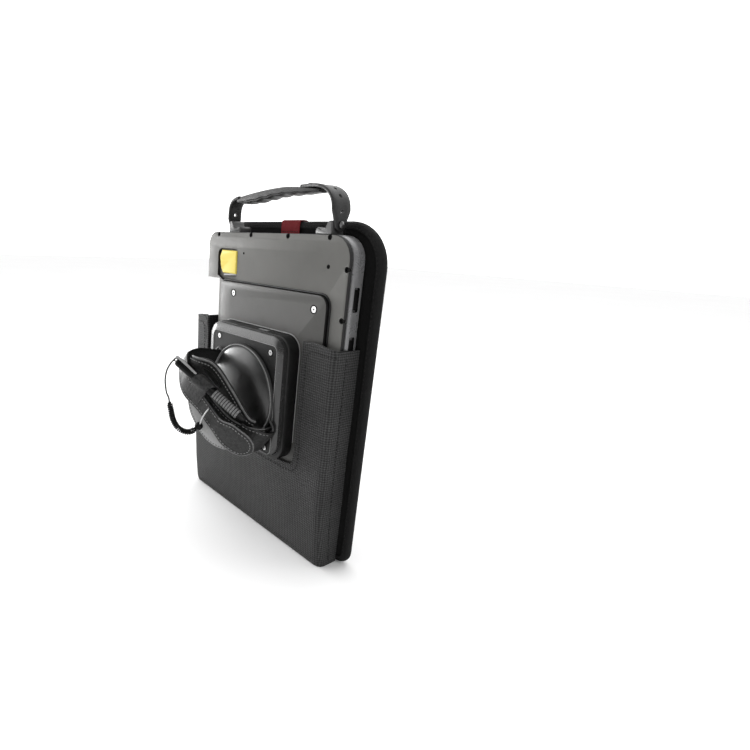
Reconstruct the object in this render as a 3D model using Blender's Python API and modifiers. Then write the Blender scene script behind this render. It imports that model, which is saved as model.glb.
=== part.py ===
"""Tablet data collector in a scanner jacket, standing in its belt holster, with a carry handle,
a swivelling hand strap and a tethered stylus.

Metres, +Z up. The origin is under the middle of the holster pocket. +X is to the right as seen
from the hand-strap side, -Y is towards the hand, +Y is towards the holster's back board.
Dimensions below are in millimetres and are scaled by MM where a mesh is made.
"""

import math

import bmesh
import bpy
from mathutils import Matrix, Vector

MM = 0.001
GAP = 0.3  # clearance between touching pieces

# ---------------------------------------------------------------- driving dimensions (mm)
BY = 10.0  # front face of the holster's back board, along Y
BOARD = (-98.0, 111.5, 0.3, 292.0)  # outer edge of the bound back board: x0, x1, z0, z1
BOARD_T = 7.0
BOARD_R_TOP = 36.0
BOARD_R_BOTTOM = 12.0
BIND_W = 6.0  # binding tape on each face
BIND_T = 0.6

POCKET_HALF = 100.0
POCKET_TOP = 194.0
POCKET_T = 2.2  # laminated ballistic nylon
POCKET_BACK = -1.2  # back edge of the pocket sides, in front of the board
U_CUT = (-76.0, 64.5, 83.0)  # opening for the strap base: left, right, bottom

CASE = (-88.0, 97.0, 4.5, 281.0)  # jacket outline
CASE_BACK = -3.0
CASE_SEAM = -16.15
CASE_FRONT = -21.0
CASE_WELL_R = 2.3

TABLET = (-84.0, 95.0, 10.3, 271.3)
TABLET_FRONT = -4.5  # glass side, which faces the board
TABLET_BACK = -13.3

COVER = (-61.5, 81.8, 58.0, 234.5)
COVER_Y = (-21.3, -25.0)

BASE = (-53.0, 57.5, 86.5, 198.0)  # strap base block
BASE_BLOCK_Y = (-25.3, -37.0)
BASE_FRAME = (-52.0, 54.5, 89.5, 197.0)
BASE_PLATE = (-44.0, 48.3, 92.4, 189.1)
BASE_SCREWS = ((-35.0, 184.6), (40.6, 183.2), (41.0, 96.8), (-35.0, 96.8))

SWIVEL = (5.0, -46.0, 139.0)  # centre of the turntable's face
STRAP_ANGLE = 130.0  # direction of the lower lug, clockwise from straight up
RING_R = 44.5
DOME_R = 38.0

HINGE_Y = -11.5
HINGE_Z = 288.5
BAND_X = (-62.0, 75.0)
BAND_T = 2.4
BAND_W = (15.0, 20.0)
FOOT_Z = 281.3

STYLUS_R = 4.2
STYLUS_A = (-36.0, 10.0, 54.5)  # eye end, in strap coordinates (along, across, outward)
STYLUS_B = (36.0, 15.0, 22.0)  # tip end

# ---------------------------------------------------------------- a clean scene
for old in list(bpy.data.objects):
    bpy.data.objects.remove(old, do_unlink=True)

PARTS = bpy.data.collections.new("data_collector")
CUTTERS = bpy.data.collections.new("cutters")
bpy.context.scene.collection.children.link(PARTS)
bpy.context.scene.collection.children.link(CUTTERS)


# ---------------------------------------------------------------- helpers
def material(name, colour, roughness, metallic=0.0):
    m = bpy.data.materials.new(name)
    m.use_nodes = True
    shader = m.node_tree.nodes["Principled BSDF"]
    shader.inputs["Base Color"].default_value = (*colour, 1.0)
    shader.inputs["Roughness"].default_value = roughness
    shader.inputs["Metallic"].default_value = metallic
    return m


def place(name, mesh, mat, location=(0, 0, 0), parent=None, smooth=False):
    obj = bpy.data.objects.new(name, mesh)
    if mat is None:
        CUTTERS.objects.link(obj)
        obj.hide_render = True
        obj.display_type = "WIRE"
    else:
        PARTS.objects.link(obj)
        mesh.materials.append(
            material(name, mat[0], mat[1], mat[2] if len(mat) > 2 else 0.0)
        )
    obj.location = Vector(location) * MM
    if parent is not None:
        obj.parent = parent
    if smooth:
        mesh.shade_smooth()
        mesh.set_sharp_from_angle(angle=math.radians(35))
    return obj


def box(name, x, y, z, mat=None, bevel=0.0, parent=None):
    """A box between two values on each axis."""
    bm = bmesh.new()
    bmesh.ops.create_cube(bm, size=1.0)
    size = [abs(v[1] - v[0]) * MM for v in (x, y, z)]
    bmesh.ops.scale(bm, vec=size, verts=bm.verts)
    mesh = bpy.data.meshes.new(name)
    bm.to_mesh(mesh)
    bm.free()
    obj = place(name, mesh, mat, [(v[0] + v[1]) / 2 for v in (x, y, z)], parent)
    if bevel:
        mod = obj.modifiers.new("edge", "BEVEL")
        mod.width = bevel * MM
        mod.segments = 2
        mod.limit_method = "NONE"
    return obj


def cylinder(name, centre, radius, length, axis, mat=None, segments=20, parent=None):
    """A cylinder about a point, along any direction."""
    bm = bmesh.new()
    bmesh.ops.create_cone(
        bm,
        cap_ends=True,
        segments=segments,
        radius1=radius * MM,
        radius2=radius * MM,
        depth=length * MM,
    )
    turn = Vector((0, 0, 1)).rotation_difference(Vector(axis).normalized())
    bmesh.ops.rotate(bm, cent=(0, 0, 0), matrix=turn.to_matrix(), verts=bm.verts)
    mesh = bpy.data.meshes.new(name)
    bm.to_mesh(mesh)
    bm.free()
    return place(name, mesh, mat, centre, parent, smooth=True)


def rounded(x0, x1, z0, z1, radii, steps=6):
    """A rectangle's outline with round corners; radii are top-left, top-right, bottom-right, bottom-left."""
    if not isinstance(radii, (tuple, list)):
        radii = (radii,) * 4
    tl, tr, br, bl = radii
    corners = (
        (x1 - tr, z1 - tr, tr, 0),
        (x0 + tl, z1 - tl, tl, 90),
        (x0 + bl, z0 + bl, bl, 180),
        (x1 - br, z0 + br, br, 270),
    )
    points = []
    for cx, cz, r, start in corners:
        for k in range(steps + 1):
            a = math.radians(start + 90 * k / steps)
            points.append((cx + r * math.cos(a), cz + r * math.sin(a)))
    return points


def flat(name, loops, low, high, mat=None, plane="XZ", edge=0.0, parent=None):
    """A flat outline with holes, given thickness between low and high along the plane's normal."""
    curve = bpy.data.curves.new(name, "CURVE")
    curve.dimensions = "2D"
    curve.fill_mode = "BOTH"
    for loop in loops:
        spline = curve.splines.new("POLY")
        spline.points.add(len(loop) - 1)
        for point, (a, b) in zip(spline.points, loop):
            point.co = (a * MM, b * MM, 0, 1)
        spline.use_cyclic_u = True
    curve.extrude = (abs(high - low) / 2 - edge) * MM
    if edge:
        curve.bevel_depth = edge * MM
        curve.bevel_resolution = 1
        curve.offset = -edge * MM
    guide = bpy.data.objects.new(name + "_outline", curve)
    CUTTERS.objects.link(guide)
    bpy.context.view_layer.update()
    mesh = bpy.data.meshes.new_from_object(
        guide.evaluated_get(bpy.context.evaluated_depsgraph_get())
    )
    bpy.data.objects.remove(guide)
    mesh.name = name
    bm = bmesh.new()
    bm.from_mesh(mesh)
    bmesh.ops.remove_doubles(bm, verts=bm.verts, dist=1e-6)
    turn, middle = {
        "XZ": (Matrix.Rotation(math.radians(90), 4, "X"), (0, (low + high) / 2, 0)),
        "YZ": (
            Matrix(((0, 0, 1, 0), (1, 0, 0, 0), (0, 1, 0, 0), (0, 0, 0, 1))),
            ((low + high) / 2, 0, 0),
        ),
        "XY": (Matrix.Identity(4), (0, 0, (low + high) / 2)),
    }[plane]
    bm.transform(turn)
    bmesh.ops.recalc_face_normals(bm, faces=bm.faces)
    bm.to_mesh(mesh)
    bm.free()
    return place(name, mesh, mat, middle, parent)


def loft(name, rings, mat=None, location=(0, 0, 0), parent=None, smooth=False):
    """Sections with the same number of points, joined in order and closed at both ends."""
    bm = bmesh.new()
    made = [[bm.verts.new(Vector(p) * MM) for p in ring] for ring in rings]
    for a, b in zip(made, made[1:]):
        n = len(a)
        for i in range(n):
            bm.faces.new((a[i], a[(i + 1) % n], b[(i + 1) % n], b[i]))
    bm.faces.new(list(reversed(made[0])))
    bm.faces.new(made[-1])
    bmesh.ops.recalc_face_normals(bm, faces=bm.faces)
    mesh = bpy.data.meshes.new(name)
    bm.to_mesh(mesh)
    bm.free()
    return place(name, mesh, mat, location, parent, smooth)


def turned(name, profile, mat=None, location=(0, 0, 0), rotation=None, parent=None, steps=40):
    """A profile of (radius, height) turned about the local Z axis."""
    mesh = bpy.data.meshes.new(name)
    mesh.from_pydata(
        [(r * MM, 0, h * MM) for r, h in profile],
        [(i, (i + 1) % len(profile)) for i in range(len(profile) - (0 if profile[0][0] > 0 else 1))],
        [],
    )
    obj = place(name, mesh, mat, location, parent)
    if rotation is not None:
        obj.rotation_euler = rotation
    screw = obj.modifiers.new("turn", "SCREW")
    screw.axis = "Z"
    screw.steps = screw.render_steps = steps
    screw.use_merge_vertices = True
    screw.merge_threshold = 0.00001
    screw.use_smooth_shade = True
    return obj


def tube(name, points, radius, mat, parent=None):
    curve = bpy.data.curves.new(name, "CURVE")
    curve.dimensions = "3D"
    curve.bevel_depth = radius * MM
    curve.bevel_resolution = 2
    curve.use_fill_caps = True
    spline = curve.splines.new("POLY")
    spline.points.add(len(points) - 1)
    for point, p in zip(spline.points, points):
        point.co = (p[0] * MM, p[1] * MM, p[2] * MM, 1)
    obj = bpy.data.objects.new(name, curve)
    PARTS.objects.link(obj)
    curve.materials.append(material(name, mat[0], mat[1]))
    if parent is not None:
        obj.parent = parent
    return obj


def cut(obj, *cutters, operation="DIFFERENCE"):
    for cutter in cutters:
        mod = obj.modifiers.new("cut", "BOOLEAN")
        mod.operation = operation
        mod.object = cutter
        mod.solver = "EXACT"
    return obj


def smooth_path(points, count):
    """Evenly spaced points on a smooth curve through the given ones."""
    points = [Vector(p) for p in points]
    padded = [2 * points[0] - points[1], *points, 2 * points[-1] - points[-2]]
    dense = []
    for i in range(1, len(padded) - 2):
        a, b, c, d = padded[i - 1 : i + 3]
        for k in range(24):
            t = k / 24
            dense.append(
                0.5
                * (
                    2 * b
                    + (c - a) * t
                    + (2 * a - 5 * b + 4 * c - d) * t * t
                    + (3 * b - a - 3 * c + d) * t**3
                )
            )
    dense.append(points[-1])
    along = [0.0]
    for a, b in zip(dense, dense[1:]):
        along.append(along[-1] + (b - a).length)
    out, j = [], 0
    for k in range(count):
        want = along[-1] * k / (count - 1)
        while j < len(along) - 2 and along[j + 1] < want:
            j += 1
        span = along[j + 1] - along[j]
        out.append(dense[j].lerp(dense[j + 1], (want - along[j]) / span if span else 0))
    return out


def strap(name, path, across, thickness, mat, parent, rows=18, columns=5, facing=(0, 0, 1)):
    """A flat strap: a path of (along, outward) swept across its width, then thickened inwards."""
    line = smooth_path([(s, h, 0) for s, h in path], rows)
    bm = bmesh.new()
    grid = []
    for i, p in enumerate(line):
        low, high = across(i / (rows - 1))
        row = []
        for j in range(columns):
            w = low + (high - low) * j / (columns - 1)
            row.append(bm.verts.new(Vector((p.x, w, p.y)) * MM))
        grid.append(row)
    for a, b in zip(grid, grid[1:]):
        for j in range(columns - 1):
            bm.faces.new((a[j], b[j], b[j + 1], a[j + 1]))
    bmesh.ops.recalc_face_normals(bm, faces=bm.faces)
    middle = grid[rows // 2][columns // 2]
    middle.normal_update()
    if middle.normal.dot(Vector(facing)) < 0:
        bmesh.ops.reverse_faces(bm, faces=bm.faces)
    mesh = bpy.data.meshes.new(name)
    bm.to_mesh(mesh)
    bm.free()
    obj = place(name, mesh, mat, parent=parent, smooth=True)
    mod = obj.modifiers.new("thickness", "SOLIDIFY")
    mod.thickness = thickness * MM
    mod.offset = -1.0
    mod.use_even_offset = False
    return obj


def pivot(name, location, matrix=None):
    empty = bpy.data.objects.new(name, None)
    empty.empty_display_size = 0.01
    PARTS.objects.link(empty)
    if matrix is not None:
        empty.matrix_world = matrix
    empty.location = Vector(location) * MM
    bpy.context.view_layer.update()
    return empty


# ---------------------------------------------------------------- finishes: colour, roughness, metallic
CORDURA = ((0.055, 0.055, 0.06), 0.85)
FELT = ((0.03, 0.03, 0.032), 0.95)
TAPE = ((0.025, 0.025, 0.027), 0.8)
RED = ((0.55, 0.03, 0.04), 0.7)
SILVER = ((0.42, 0.42, 0.43), 0.4, 0.3)
GREY = ((0.15, 0.15, 0.155), 0.5)
BLACK = ((0.02, 0.02, 0.022), 0.5)
STEEL = ((0.6, 0.6, 0.6), 0.3, 1.0)
YELLOW = ((0.85, 0.68, 0.12), 0.4)
GLASS = ((0.01, 0.01, 0.012), 0.08)
BOARD_GREEN = ((0.03, 0.2, 0.08), 0.6)
LEATHER = ((0.04, 0.04, 0.042), 0.6)
LIGHT_FABRIC = ((0.35, 0.35, 0.36), 0.9)
RUBBER = ((0.06, 0.06, 0.062), 0.65)
LIGHT_GREY = ((0.45, 0.45, 0.46), 0.45)
GLOSS = ((0.03, 0.03, 0.033), 0.2)


def y(measured):
    """A distance in front of (negative) or behind the board's face, as a world Y."""
    return BY + measured


# ================================================================ holster
bx0, bx1, bz0, bz1 = BOARD
board = flat(
    "holster_board",
    [
        rounded(
            bx0 + 1.6, bx1 - 1.6, bz0 + 1.6, bz1 - 1.6,
            (BOARD_R_TOP - 1.6, BOARD_R_TOP - 1.6, BOARD_R_BOTTOM - 1.6, BOARD_R_BOTTOM - 1.6),
        )
    ],
    y(0), y(BOARD_T), CORDURA, edge=1.2,
)
bind_in = BIND_W
binding = flat(
    "board_binding",
    [
        rounded(bx0, bx1, bz0, bz1, (BOARD_R_TOP, BOARD_R_TOP, BOARD_R_BOTTOM, BOARD_R_BOTTOM)),
        rounded(
            bx0 + bind_in, bx1 - bind_in, bz0 + bind_in, bz1 - bind_in,
            (BOARD_R_TOP - bind_in, BOARD_R_TOP - bind_in, BOARD_R_BOTTOM - bind_in, BOARD_R_BOTTOM - bind_in),
        ),
    ],
    y(-GAP - BIND_T), y(BOARD_T + GAP + BIND_T), TAPE,
)
cut(
    binding,
    flat(
        "binding_channel",
        [
            rounded(
                bx0 + 1.3, bx1 - 1.3, bz0 + 1.3, bz1 - 1.3,
                (BOARD_R_TOP - 1.3, BOARD_R_TOP - 1.3, BOARD_R_BOTTOM - 1.3, BOARD_R_BOTTOM - 1.3),
            )
        ],
        y(-GAP), y(BOARD_T + GAP),
    ),
)
flat("board_liner", [rounded(-89, 96.8, 9, 283, (24, 28, 8, 8))], y(-0.85), y(-GAP), FELT)

# pocket front: the panel leans out and bulges over the jacket
PANEL_Y = ((0, -21.7), (5.2, -23.7), (30, -26.3), (60, -28.0), (120, -28.8), (197, -29.4))


def panel_front(z):
    for (za, ya), (zb, yb) in zip(PANEL_Y, PANEL_Y[1:]):
        if z <= zb:
            return ya + (yb - ya) * (z - za) / (zb - za)
    return PANEL_Y[-1][1]


def arc(cx, cz, r, a0, a1, steps=4):
    return [
        (
            cx + r * math.cos(math.radians(a0 + (a1 - a0) * k / steps)),
            cz + r * math.sin(math.radians(a0 + (a1 - a0) * k / steps)),
        )
        for k in range(steps + 1)
    ]


ul, ur, ub = U_CUT
panel_outline = (
    [(-POCKET_HALF, 0), (POCKET_HALF, 0), (POCKET_HALF, POCKET_TOP), (74, 197)]
    + arc(73.5, 188, 9, 90, 180)
    + arc(ur - 12, ub + 12, 12, 0, -90)
    + arc(ul + 12, ub + 12, 12, 270, 180)
    + arc(-85, 188, 9, 0, 90)
    + [(-POCKET_HALF, 196)]
)
panel = flat("pocket_front", [panel_outline], 0, POCKET_T, CORDURA)
panel.location = (0, 0, 0)
bm = bmesh.new()
bm.from_mesh(panel.data)
for z, _ in PANEL_Y[1:-1]:
    bmesh.ops.bisect_plane(
        bm, geom=bm.verts[:] + bm.edges[:] + bm.faces[:], plane_co=(0, 0, z * MM), plane_no=(0, 0, 1)
    )
for v in bm.verts:
    v.co.y += (y(panel_front(v.co.z / MM)) + POCKET_T / 2) * MM
bm.to_mesh(panel.data)
bm.free()

side_profile = [(y(POCKET_BACK), 0)] + [
    (y(panel_front(z) + POCKET_T + GAP), min(z, 193.6)) for z, _ in PANEL_Y
] + [(y(POCKET_BACK), 193.6)]
flat("pocket_gusset_right", [side_profile], 97.6, 99.8, CORDURA, plane="YZ")
flat("pocket_gusset_left", [side_profile], -99.8, -97.6, CORDURA, plane="YZ")
box("pocket_base", (-97.2, 97.2), (y(POCKET_BACK), y(-18.9)), (0, POCKET_T), CORDURA)

tab = box("red_tab", (-3, 20.5), (y(-2.1), y(BOARD_T + 2.1)), (281.5, 293.3), RED)
cut(tab, box("red_tab_slot", (-5, 23), (y(-1.2), y(BOARD_T + 1.2)), (270, 292.3)))

# ================================================================ jacket shells
cx0, cx1, cz0, cz1 = CASE
CASE_RADII = (12, 19, 16, 16)


def left_chamfer(name, offset=0.0):
    """Wedge that slants the jacket's lower left side, from its back edge in to the cover."""
    slope = 17.5 / 12.5
    top = -27.0
    return flat(
        name,
        [
            [
                (cx0 - offset, y(-8)),
                (cx0 - offset + slope * (-8 - top), y(top)),
                (-120, y(top)),
                (-120, y(-8)),
            ]
        ],
        -5, 235.8, plane="XY",
    )


frame = flat(
    "front_frame",
    [rounded(cx0, cx1, cz0, cz1, CASE_RADII)],
    y(CASE_SEAM), y(CASE_BACK), SILVER, edge=1.0,
)
cavity = flat(
    "frame_cavity",
    [
        [
            (-84.3, y(-4.2)), (-84.3, y(-8.9)), (-74.3, y(-16.1)), (-74.3, y(-18)),
            (95.3, y(-18)), (95.3, y(-4.2)),
        ]
    ],
    5, 276, plane="XY",
)
cut(
    cavity,
    flat("cavity_outline", [rounded(-84.3, 95.3, 10, 271.6, 13.3)], y(-30), y(0)),
    operation="INTERSECT",
)
cut(
    frame,
    left_chamfer("frame_chamfer"),
    cavity,
    flat("bezel_window", [rounded(-80, 91, 14.3, 267.3, 8)], y(0), y(-6)),
    box("volume_slot", (90, 100), (y(-12), y(-6)), (223.5, 242.5), bevel=1.4),
    box("power_slot", (90, 100), (y(-12), y(-6)), (185.5, 204.0), bevel=1.4),
    box("imager_slot", (-34, -12), (y(-20), y(-9.5)), (270, 285)),
    box("dock_slot", (-14, 22), (y(-12.5), y(-6.5)), (0, 12)),
)

rear = flat(
    "rear_housing",
    [rounded(cx0 - 3.5, cx1, cz0, cz1, CASE_RADII)],
    y(CASE_FRONT), y(-16.75), GREY, edge=1.2,
)
cut(
    rear,
    left_chamfer("housing_chamfer"),
    flat("housing_hollow", [rounded(-64, 93.5, 8.5, 232, (2, 2, 12.5, 2))], y(-19.2), y(-10)),
    flat("housing_hollow_top", [rounded(-36, 93.5, 231, 277, (2, 15.8, 2, 2))], y(-19.2), y(-10)),
    box("battery_opening", (-50, 70), (y(-30), y(-10)), (100, 220)),
)
# scan button bay, open at its lower left
bay = flat(
    "button_bay",
    [[(-74, 239), (-60, 233), (-41.5, 233)] + arc(-45, 262, 3.5, 0, 90) + arc(-68, 259.5, 6, 90, 180)],
    y(-30), y(-17.9),
)
cut(rear, bay)
WELLS = [(-74.0, 278.9), (-22.6, 278.9), (27.6, 278.9), (75.0, 278.9)] + [
    (95.0, z) for z in (255.7, 217.2, 178.0, 139.0, 100.0, 61.0, 24.0)
]
for i, (wx, wz) in enumerate(WELLS):
    cut(rear, cylinder(f"case_well_{i + 1}", (wx, y(-21), wz), CASE_WELL_R, 5.6, (0, 1, 0), segments=12))

seal = flat("case_seal", [rounded(-86.4, 95.6, 6.2, 279.4, (10, 17, 14, 14))], y(-16.60), y(-16.30), BLACK)
cut(
    seal,
    flat("seal_inside", [rounded(-72.6, 94.4, 9.6, 273, (6, 12, 10, 10))], y(-12), y(-20)),
    flat(
        "seal_chamfer",
        [[(-100, -5), (-74.4, -5), (-74.4, 237), (-100, 237)]],
        y(-12), y(-20),
    ),
    box("seal_imager_gap", (-36, -10), (y(-20), y(-12)), (265, 285)),
)

cover = flat(
    "expansion_cover",
    [rounded(*COVER, (3, 9, 9, 6))],
    y(COVER_Y[1]), y(COVER_Y[0]), GREY, edge=0.7,
)
COVER_SCREWS = ((-40.0, 224.3), (68.7, 222.8))
for i, (sx, sz) in enumerate(COVER_SCREWS):
    cut(cover, cylinder(f"cover_screw_seat_{i + 1}", (sx, y(-25), sz), 3.1, 3.0, (0, 1, 0)))
    cylinder(f"cover_screw_{i + 1}", (sx, y(-24.4), sz), 2.8, 1.2, (0, 1, 0), STEEL, segments=16)

# electronics held in the jacket
box("jacket_battery", (-49, 69), (y(-20.9), y(-13.8)), (101, 219), BLACK, bevel=1.0)
box("jacket_board", (-60, 84), (y(-15.7), y(-14.1)), (16, 92), BOARD_GREEN)
box("scan_engine", (-33, -13), (y(-15.6), y(-9.9)), (272.2, 278.4), BLACK, bevel=0.5)
box("imager_window", (-33.6, -12.4), (y(-15.8), y(-9.9)), (278.8, 280.4), GLASS)
box("dock_connector", (-13.6, 21.6), (y(-12.1), y(-6.9)), (5.2, 9.8), BLACK, bevel=0.4)

# ================================================================ tablet
tx0, tx1, tz0, tz1 = TABLET
shell = flat("tablet_back_shell", [rounded(tx0, tx1, tz0, tz1, 13)], y(TABLET_BACK), y(-6.2), SILVER)
cut(
    shell,
    flat(
        "tablet_left_slant",
        [[(-84, y(-8.2)), (-74.4, y(-15.35)), (-95, y(-15.35)), (-95, y(-8.2))]],
        0, 300, plane="XY",
    ),
    flat(
        "tablet_right_slant",
        [[(95.01, y(-10.2)), (90, y(-14.4)), (100, y(-14.4)), (100, y(-10.2))]],
        0, 300, plane="XY",
    ),
    box("tablet_hollow", (-77, 88.5), (y(-12.3), y(-3)), (tz0 + 3.5, tz1 - 3.5), bevel=0),
)
flat("tablet_glass", [rounded(tx0, tx1, tz0, tz1, 13)], y(-5.9), y(TABLET_FRONT), GLASS)
box("lcd_panel", (-64, 75), (y(-8.2), y(-6.3)), (30, 251), BLACK)
box("tablet_battery", (-58, 60), (y(-11.9), y(-8.8)), (40, 150), BLACK)
box("tablet_mainboard", (-58, 60), (y(-10.4), y(-9.2)), (162, 242), BOARD_GREEN)
cylinder("camera_lens", (82, y(-7.4), 198), 2.4, 2.2, (0, 1, 0), GLASS)

volume_pivot = pivot("volume_rocker_axis", (95.9, y(-9), 233))
box("volume_rocker", (-0.5, 0.55), (-2.4, 2.4), (-7.8, 7.8), BLACK, bevel=0.25, parent=volume_pivot)
box("power_button", (95.5, 96.5), (y(-11.4), y(-6.6)), (188, 201.5), BLACK, bevel=0.25)

# scan button: a curved key that stands a little proud of the housing
button_rings = []
for yy, inset in ((-18.9, 0.0), (-21.0, 0.0), (-21.9, 0.9)):
    ring = [(-42.4 - inset, y(yy), 241.8 + inset), (-42.4 - inset, y(yy), 263.6 - inset), (-67.0 + inset, y(yy), 263.8 - inset)]
    for k in range(1, 6):
        a = k / 6
        ring.append((-70.0 + inset + 3.6 * a * a, y(yy), 260.8 - 17.0 * a - inset * 0.5 * a))
    ring.append((-64.8 + inset, y(yy), 242.0 + inset))
    button_rings.append(ring)
loft("scan_button", button_rings, YELLOW)

# ================================================================ strap base
block = flat("strap_base_block", [rounded(*BASE, 14)], y(BASE_BLOCK_Y[1]), y(BASE_BLOCK_Y[0]), BLACK, edge=0.6)
cut(block, cylinder("bolt_bore_block", (SWIVEL[0], y(-33.5), SWIVEL[2]), 5.4, 12, (0, 1, 0)))
fx0, fx1, fz0, fz1 = BASE_FRAME
px0, px1, pz0, pz1 = BASE_PLATE
# the frame's face slopes up from its outer edge to the rim of the recess
frame_rings = [
    [(ox, y(yy), oz) for ox, oz in rounded(x0, x1, z0, z1, r)]
    for yy, x0, x1, z0, z1, r in (
        (-37.3, fx0, fx1, fz0, fz1, 14),
        (-40.4, fx0, fx1, fz0, fz1, 14),
        (-41.2, fx0 + 0.7, fx1 - 0.7, fz0 + 0.5, fz1 - 0.7, 13.3),
        (-43.0, px0 - 1.3, px1 + 1.3, pz0 - 1.2, pz1 + 1.3, 7),
    )
]
base_frame = loft("strap_base_frame", frame_rings, LIGHT_GREY)
cut(
    base_frame,
    flat("frame_recess", [rounded(px0 - 0.3, px1 + 0.3, pz0 - 0.3, pz1 + 0.3, 5.3)], y(-50), y(-39.9)),
    cylinder("bolt_bore_frame", (SWIVEL[0], y(-38.5), SWIVEL[2]), 5.4, 8, (0, 1, 0)),
)
face = flat("strap_face_plate", [rounded(px0, px1, pz0, pz1, 5)], y(-42.8), y(-40.2), BLACK)
cut(face, cylinder("bolt_bore_plate", (SWIVEL[0], y(-41.5), SWIVEL[2]), 5.4, 8, (0, 1, 0)))
for i, (sx, sz) in enumerate(BASE_SCREWS):
    cut(face, cylinder(f"base_screw_seat_{i + 1}", (sx, y(-43.0), sz), 2.7, 3.0, (0, 1, 0)))
    cylinder(f"base_screw_{i + 1}", (sx, y(-42.35), sz), 2.4, 1.3, (0, 1, 0), STEEL, segments=16)

# ================================================================ swivelling strap assembly
angle = math.radians(STRAP_ANGLE)
along = Vector((math.sin(angle), 0, math.cos(angle)))
across = Vector((-math.cos(angle), 0, math.sin(angle)))
outward = Vector((0, -1, 0))
strap_axes = Matrix(
    [
        (along[i], across[i], outward[i], 0)
        for i in range(3)
    ]
    + [(0, 0, 0, 1)]
)
swivel = pivot("swivel_axis", (SWIVEL[0], y(SWIVEL[1]), SWIVEL[2]), strap_axes)

ring = turned(
    "swivel_ring",
    [(RING_R, -0.4), (RING_R, -2.6), (DOME_R + 0.3, -2.6), (DOME_R + 0.3, 0.0), (39.0, 0.6), (43.6, 0.6)],
    LIGHT_GREY, parent=swivel, steps=48,
)
lug_low = box("lug_lower_form", (40, 52), (-20, 17), (-1.6, 0.4), bevel=0.4, parent=swivel)
lug_high = box("lug_upper_form", (-52, -40), (-20, 5), (-1.6, 0.4), bevel=0.4, parent=swivel)
inner_bore = cylinder("lug_bore_form", (0, 0, 0), 41.2, 20, (0, 0, 1), segments=40, parent=swivel)
cut(lug_low, inner_bore)
cut(lug_high, inner_bore)
slot_low = box("slot_lower_form", (45.6, 49.6), (-18, 15), (-8, 8), parent=swivel)
slot_high = box("slot_upper_form", (-49.6, -45.6), (-18.4, 3.4), (-8, 8), parent=swivel)
cut(ring, lug_low, lug_high, operation="UNION")
cut(ring, slot_low, slot_high)

turned(
    "swivel_dome",
    [(0, 7.0), (10, 6.8), (20, 6.0), (28, 4.6), (34, 2.6), (37, 0.6), (DOME_R, -0.8), (DOME_R, -2.4), (0, -2.4)],
    GLOSS, parent=swivel, steps=48,
)
turned(
    "swivel_bolt",
    [(0, -2.8), (8.5, -2.8), (8.5, -2.95), (5.0, -2.95), (5.0, -13.5), (0, -13.5)],
    STEEL, parent=swivel, steps=20,
)

# the arch of the strap: (along, outward)
OUTER_PATH = [(-48.5, 35.5), (-45, 38.2), (-40, 40.6), (-33, 43.2), (-24, 45.6), (-14, 45.6), (-5, 43.8), (5, 41.4), (14, 39.6), (23.4, 37.8)]
FLAP_PATH = [(24.2, 37.6), (31, 35.6), (38, 32.2), (44, 28.4), (50, 24.0), (55, 20.0), (58.5, 16.5)]
LOWER_PATH = [(47.6, -0.6), (47.6, 5.5), (45.2, 12), (39, 19), (31, 24.3), (20, 29.2), (6, 33.6), (-8, 36.2)]
WEBBING_PATH = [(-47.6, -0.6), (-50.2, 9), (-52.4, 19), (-51.9, 27), (-50.0, 32.4)]
PAD_PATH = [(39.5, 10.5), (36, 15.5), (27, 20), (15, 23.5), (4, 25), (-7, 26), (-16, 27.4), (-21.5, 30.4), (-24.8, 34.6), (-26.2, 38.2)]
PANEL_PATH = [(44, 23.2), (38, 27.2), (30, 31.0), (20, 33.6), (8, 35.6), (-4, 38.2), (-14, 40.2)]


def blend_steps(a, b, t):
    t = min(max(t, 0.0), 1.0)
    return a + (b - a) * t * t * (3 - 2 * t)


def flap_width(t):
    low = blend_steps(-17.0, -18.0, t * 2)
    high = blend_steps(4.6, 12.0, t * 2.6)
    if t > 0.62:  # round end
        k = math.sqrt(max(0.0, 1 - ((t - 0.62) / 0.385) ** 2))
        middle, half = (low + high) / 2, (high - low) / 2
        return middle - half * k, middle + half * k
    return low, high


strap("strap_outer_band", OUTER_PATH, lambda t: (-17.0, 4.0 + 0.6 * t), 1.8, LEATHER, swivel, rows=20)
flap_pivot = pivot("flap_axis", (0, 0, 0))
flap_pivot.parent = swivel
flap_pivot.location = Vector((24.0, 0, 36.9)) * MM
flap = strap("strap_flap", FLAP_PATH, flap_width, 1.8, LEATHER, swivel, rows=18, columns=7)
strap(
    "strap_lower_band", LOWER_PATH,
    lambda t: (-16.0, blend_steps(14.0, 3.6, t / 0.62)),
    1.8, LEATHER, swivel, rows=22, facing=(1, 0, 1),
)
strap("strap_webbing", WEBBING_PATH, lambda t: (-17.0, 2.8), 1.6, TAPE, swivel, rows=12, facing=(-1, 0, 0))
strap(
    "strap_pad", PAD_PATH,
    lambda t: (-22.0, blend_steps(13.0, 21.0, t / 0.45)),
    6.0, LEATHER, swivel, rows=22, columns=7,
)
strap(
    "strap_loop_panel", PANEL_PATH,
    lambda t: (-17.0 - 9.5 * math.sin(math.pi * min(1.0, max(0.0, 0.08 + 0.86 * t))) ** 0.6, -6.0),
    1.2, LIGHT_FABRIC, swivel, rows=14,
)

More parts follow.
